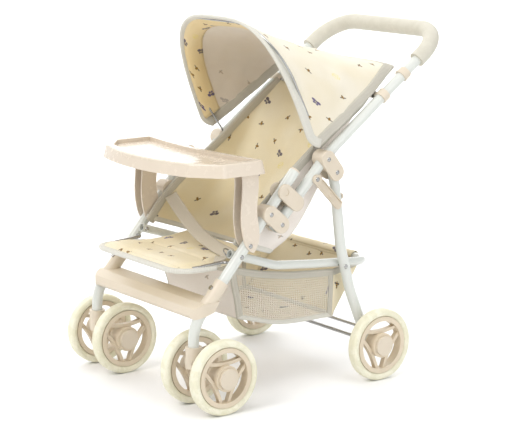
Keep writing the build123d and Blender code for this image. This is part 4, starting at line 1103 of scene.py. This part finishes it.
def basket_floor(s, u):
    """The floor: s from left to right, u from the front wall back to the rear wall."""
    point = basket_side(1, u, 1.0).lerp(basket_side(-1, u, 1.0), s)
    straight = basket_side(1, 0.0, 1.0).lerp(basket_side(-1, 0.0, 1.0), s)
    point += (basket_front(s, 1.0) - straight) * (1 - u) ** 6
    slack = math.sin(math.pi * u)
    drop = 2.5 * math.sin(math.pi * s) + ruffle(point, 0.035, 1.6)
    return point - Vector((0, 0, drop * slack * MM))


def basket_rear(s, v):
    """The rear wall: v from the floor up to the hem round the rail."""
    left = mirrored(through(BASKET_FLOOR, 1.0).lerp(Vector(BASKET_HEM), v), 1)
    right = Vector((-left.x, left.y, left.z))
    point = left.lerp(right, s)
    belly = math.sin(math.pi * s) * math.sin(math.pi * v)
    return point + Vector((0, 7.0 * belly + ruffle(point, 0.035, 2.4) * belly, -5.0 * belly)) * MM


def basket_gusset(side, u, v):
    """The three-cornered cloth between a side's rear edge and the rear wall."""
    top = basket_side(side, 1.0, 0.0).lerp(mirrored(Vector(BASKET_HEM), side), u)
    low = basket_rear(0.0 if side > 0 else 1.0, u)
    point = top.lerp(low, v)
    belly = math.sin(math.pi * v) * (1 - u) * math.sin(math.pi * min(u + 0.15, 1.0))
    return point + Vector((side * 3.0 * belly * MM, 0, 0))


def basket_cloth(name, surface, rows, columns, *materials, lining=False, thickness=0.0012):
    """A basket panel from surface(across, down), each from 0 to 1."""
    return cloth_grid(name, surface_rows(surface, rows, columns), thickness, *materials, lining=lining)


def border_tape(name, surface, edge, width, material=GREY_TAPE):
    """Tape on a basket panel's border."""
    return edge_tape(name, surface, edge, width, 0.003, material, 60)


basket_front_wall = basket_cloth(
    "basket_front_wall", basket_front, 22, 40, PLAIN_CLOTH, SEAT_CLOTH, lining=True
)
basket_floor_cloth = basket_cloth("basket_floor_cloth", basket_floor, 30, 40, BASKET_CLOTH)
basket_rear_wall = basket_cloth("basket_rear_wall", basket_rear, 24, 40, SEAT_CLOTH)
hem_line = [spot(-84 + 168 * i / 40, 15.0, 176.0) for i in range(41)]
basket_rail_sleeve = sleeve("basket_rail_sleeve", hem_line, 0.0082, SEAT_CLOTH)
basket_sides, basket_gussets, side_tapes, gusset_tapes = {}, {}, {}, {}
for side_name, side in SIDES.items():

    def wall(u, v, side=side):
        return basket_side(side, u, v)

    def gusset(u, v, side=side):
        return basket_gusset(side, u * 0.97, v)

    if side_name == "left":
        basket_sides[side_name] = basket_cloth("basket_net_left", wall, 22, 40, NET, thickness=0.0006)
    else:
        basket_sides[side_name] = basket_cloth("basket_side_right", wall, 22, 40, BASKET_CLOTH)
    basket_gussets[side_name] = basket_cloth(f"basket_gusset_{side_name}", gusset, 14, 20, SEAT_CLOTH)
    side_tapes[side_name] = [
        border_tape(f"basket_top_tape_{side_name}", wall, START_EDGE, 0.010),
        border_tape(f"basket_low_tape_{side_name}", wall, END_EDGE, 0.006, PALE_TAPE),
        border_tape(f"basket_fore_tape_{side_name}", wall, FRONT_EDGE, 0.009),
        border_tape(f"basket_aft_tape_{side_name}", wall, REAR_EDGE, 0.007),
    ]
    gusset_tapes[side_name] = [border_tape(f"basket_gusset_tape_{side_name}", gusset, START_EDGE, 0.009)]
basket_front_tape = border_tape("basket_front_tape", basket_front, START_EDGE, 0.009)
basket_rear_tape = border_tape("basket_rear_floor_tape", basket_rear, START_EDGE, 0.007, PALE_TAPE)
basket_pieces = [
    basket_front_wall,
    basket_floor_cloth,
    basket_rear_wall,
    basket_rail_sleeve,
    basket_front_tape,
    basket_rear_tape,
    *basket_sides.values(),
    *basket_gussets.values(),
]
for tapes in (*side_tapes.values(), *gusset_tapes.values()):
    basket_pieces += tapes
for piece in basket_pieces:
    settle(piece)

# ---------------- what moves with what
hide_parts("hood")
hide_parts("seat_back")
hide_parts("seat_pan")
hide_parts("lap_belt")
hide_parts("basket")

for piece in [shell, facing, *hood_tapes]:
    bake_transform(piece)
for piece in [back, *back_tapes]:
    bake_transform(piece)
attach(back_sleeve, "handle")
for piece in (pad, pan_tape, lap_strap, strap_tail, ring):
    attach(piece, "front_frame")
for piece in basket_pieces:
    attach(piece, "side_rail")
    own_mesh(piece)


# ---------------- stage, light and camera
def floor_and_wall():
    """One pale sheet: the floor, which curves up behind into a wall."""
    mesh = bpy.data.meshes.new("studio_floor")
    bend_at, bend_r, steps = 3.0, 1.5, 12
    profile = [(-6.0, 0.0), (bend_at, 0.0)]
    for i in range(1, steps + 1):
        turn = i * math.pi / (2 * steps)
        profile.append((bend_at + bend_r * math.sin(turn), bend_r - bend_r * math.cos(turn)))
    profile.append((bend_at + bend_r, 6.0))
    points = [(x, y, z) for y, z in profile for x in (-9.0, 9.0)]
    faces = [(2 * i, 2 * i + 1, 2 * i + 3, 2 * i + 2) for i in range(len(profile) - 1)]
    mesh.from_pydata(points, [], faces)
    material, bench, shader = new_material("studio_paper")
    where = bench.node("ShaderNodeTexCoord").outputs["Object"]
    soft = bench.noise(where, 1.5, 2.0)
    paper = bench.blend(soft, rgb(0.90, 0.90, 0.905), rgb(0.92, 0.92, 0.92))
    bench.feed(shader, {"Base Color": paper, "Roughness": 0.7})
    floor = new_piece("studio_floor", mesh, material)
    floor.rotation_euler[2] = math.radians(54)  # the wall stands behind the stroller as the camera sees it
    return floor


floor_and_wall()


def soft_light(name, where, toward, size, power, colour=(1, 1, 1)):
    data = bpy.data.lights.new(name, "AREA")
    data.shape = "DISK"
    data.size, data.energy, data.color = size, power, colour
    light = bpy.data.objects.new(name, data)
    light.location = where
    light.rotation_euler = (Vector(toward) - Vector(where)).to_track_quat("-Z", "Y").to_euler()
    bpy.context.scene.collection.objects.link(light)


MIDDLE = (0.0, 0.0, 0.28)
soft_light("key", (0.6, -2.4, 2.4), MIDDLE, 1.5, 42, (1.0, 0.985, 0.96))
soft_light("fill", (2.6, 0.4, 1.4), MIDDLE, 2.4, 22, (0.97, 0.985, 1.0))
soft_light("far_side", (-2.2, -0.8, 1.6), MIDDLE, 2.0, 16)
soft_light("top", (-0.4, 0.6, 6.0), (-0.2, 0.2, 0.0), 8.0, 195)
soft_light("far_floor", (-2.4, 1.75, 2.4), (-3.2, 2.35, 0.0), 3.2, 60)

world = bpy.data.worlds.new("studio")
world.use_nodes = True
world.node_tree.nodes["Background"].inputs[0].default_value = rgb(0.95, 0.96, 0.97)
world.node_tree.nodes["Background"].inputs[1].default_value = 0.56
bpy.context.scene.world = world

CAMERA_AIM = Vector((0.0, -0.01069, 0.23933))
CAMERA_AZIMUTH = math.radians(54.05)
CAMERA_ELEVATION = math.radians(11.15)
CAMERA_DISTANCE = 2.69798

camera_data = bpy.data.cameras.new("camera")
camera_data.sensor_width = 36.0
camera_data.lens = 121.0
camera_data.clip_end = 60.0
camera = bpy.data.objects.new("camera", camera_data)
away = Vector(
    (
        math.sin(CAMERA_AZIMUTH) * math.cos(CAMERA_ELEVATION),
        -math.cos(CAMERA_AZIMUTH) * math.cos(CAMERA_ELEVATION),
        math.sin(CAMERA_ELEVATION),
    )
)
camera.location = CAMERA_AIM + away * CAMERA_DISTANCE
camera.rotation_euler = (-away).to_track_quat("-Z", "Y").to_euler()
bpy.context.scene.collection.objects.link(camera)
bpy.context.scene.camera = camera
bpy.context.scene.view_settings.view_transform = "Standard"
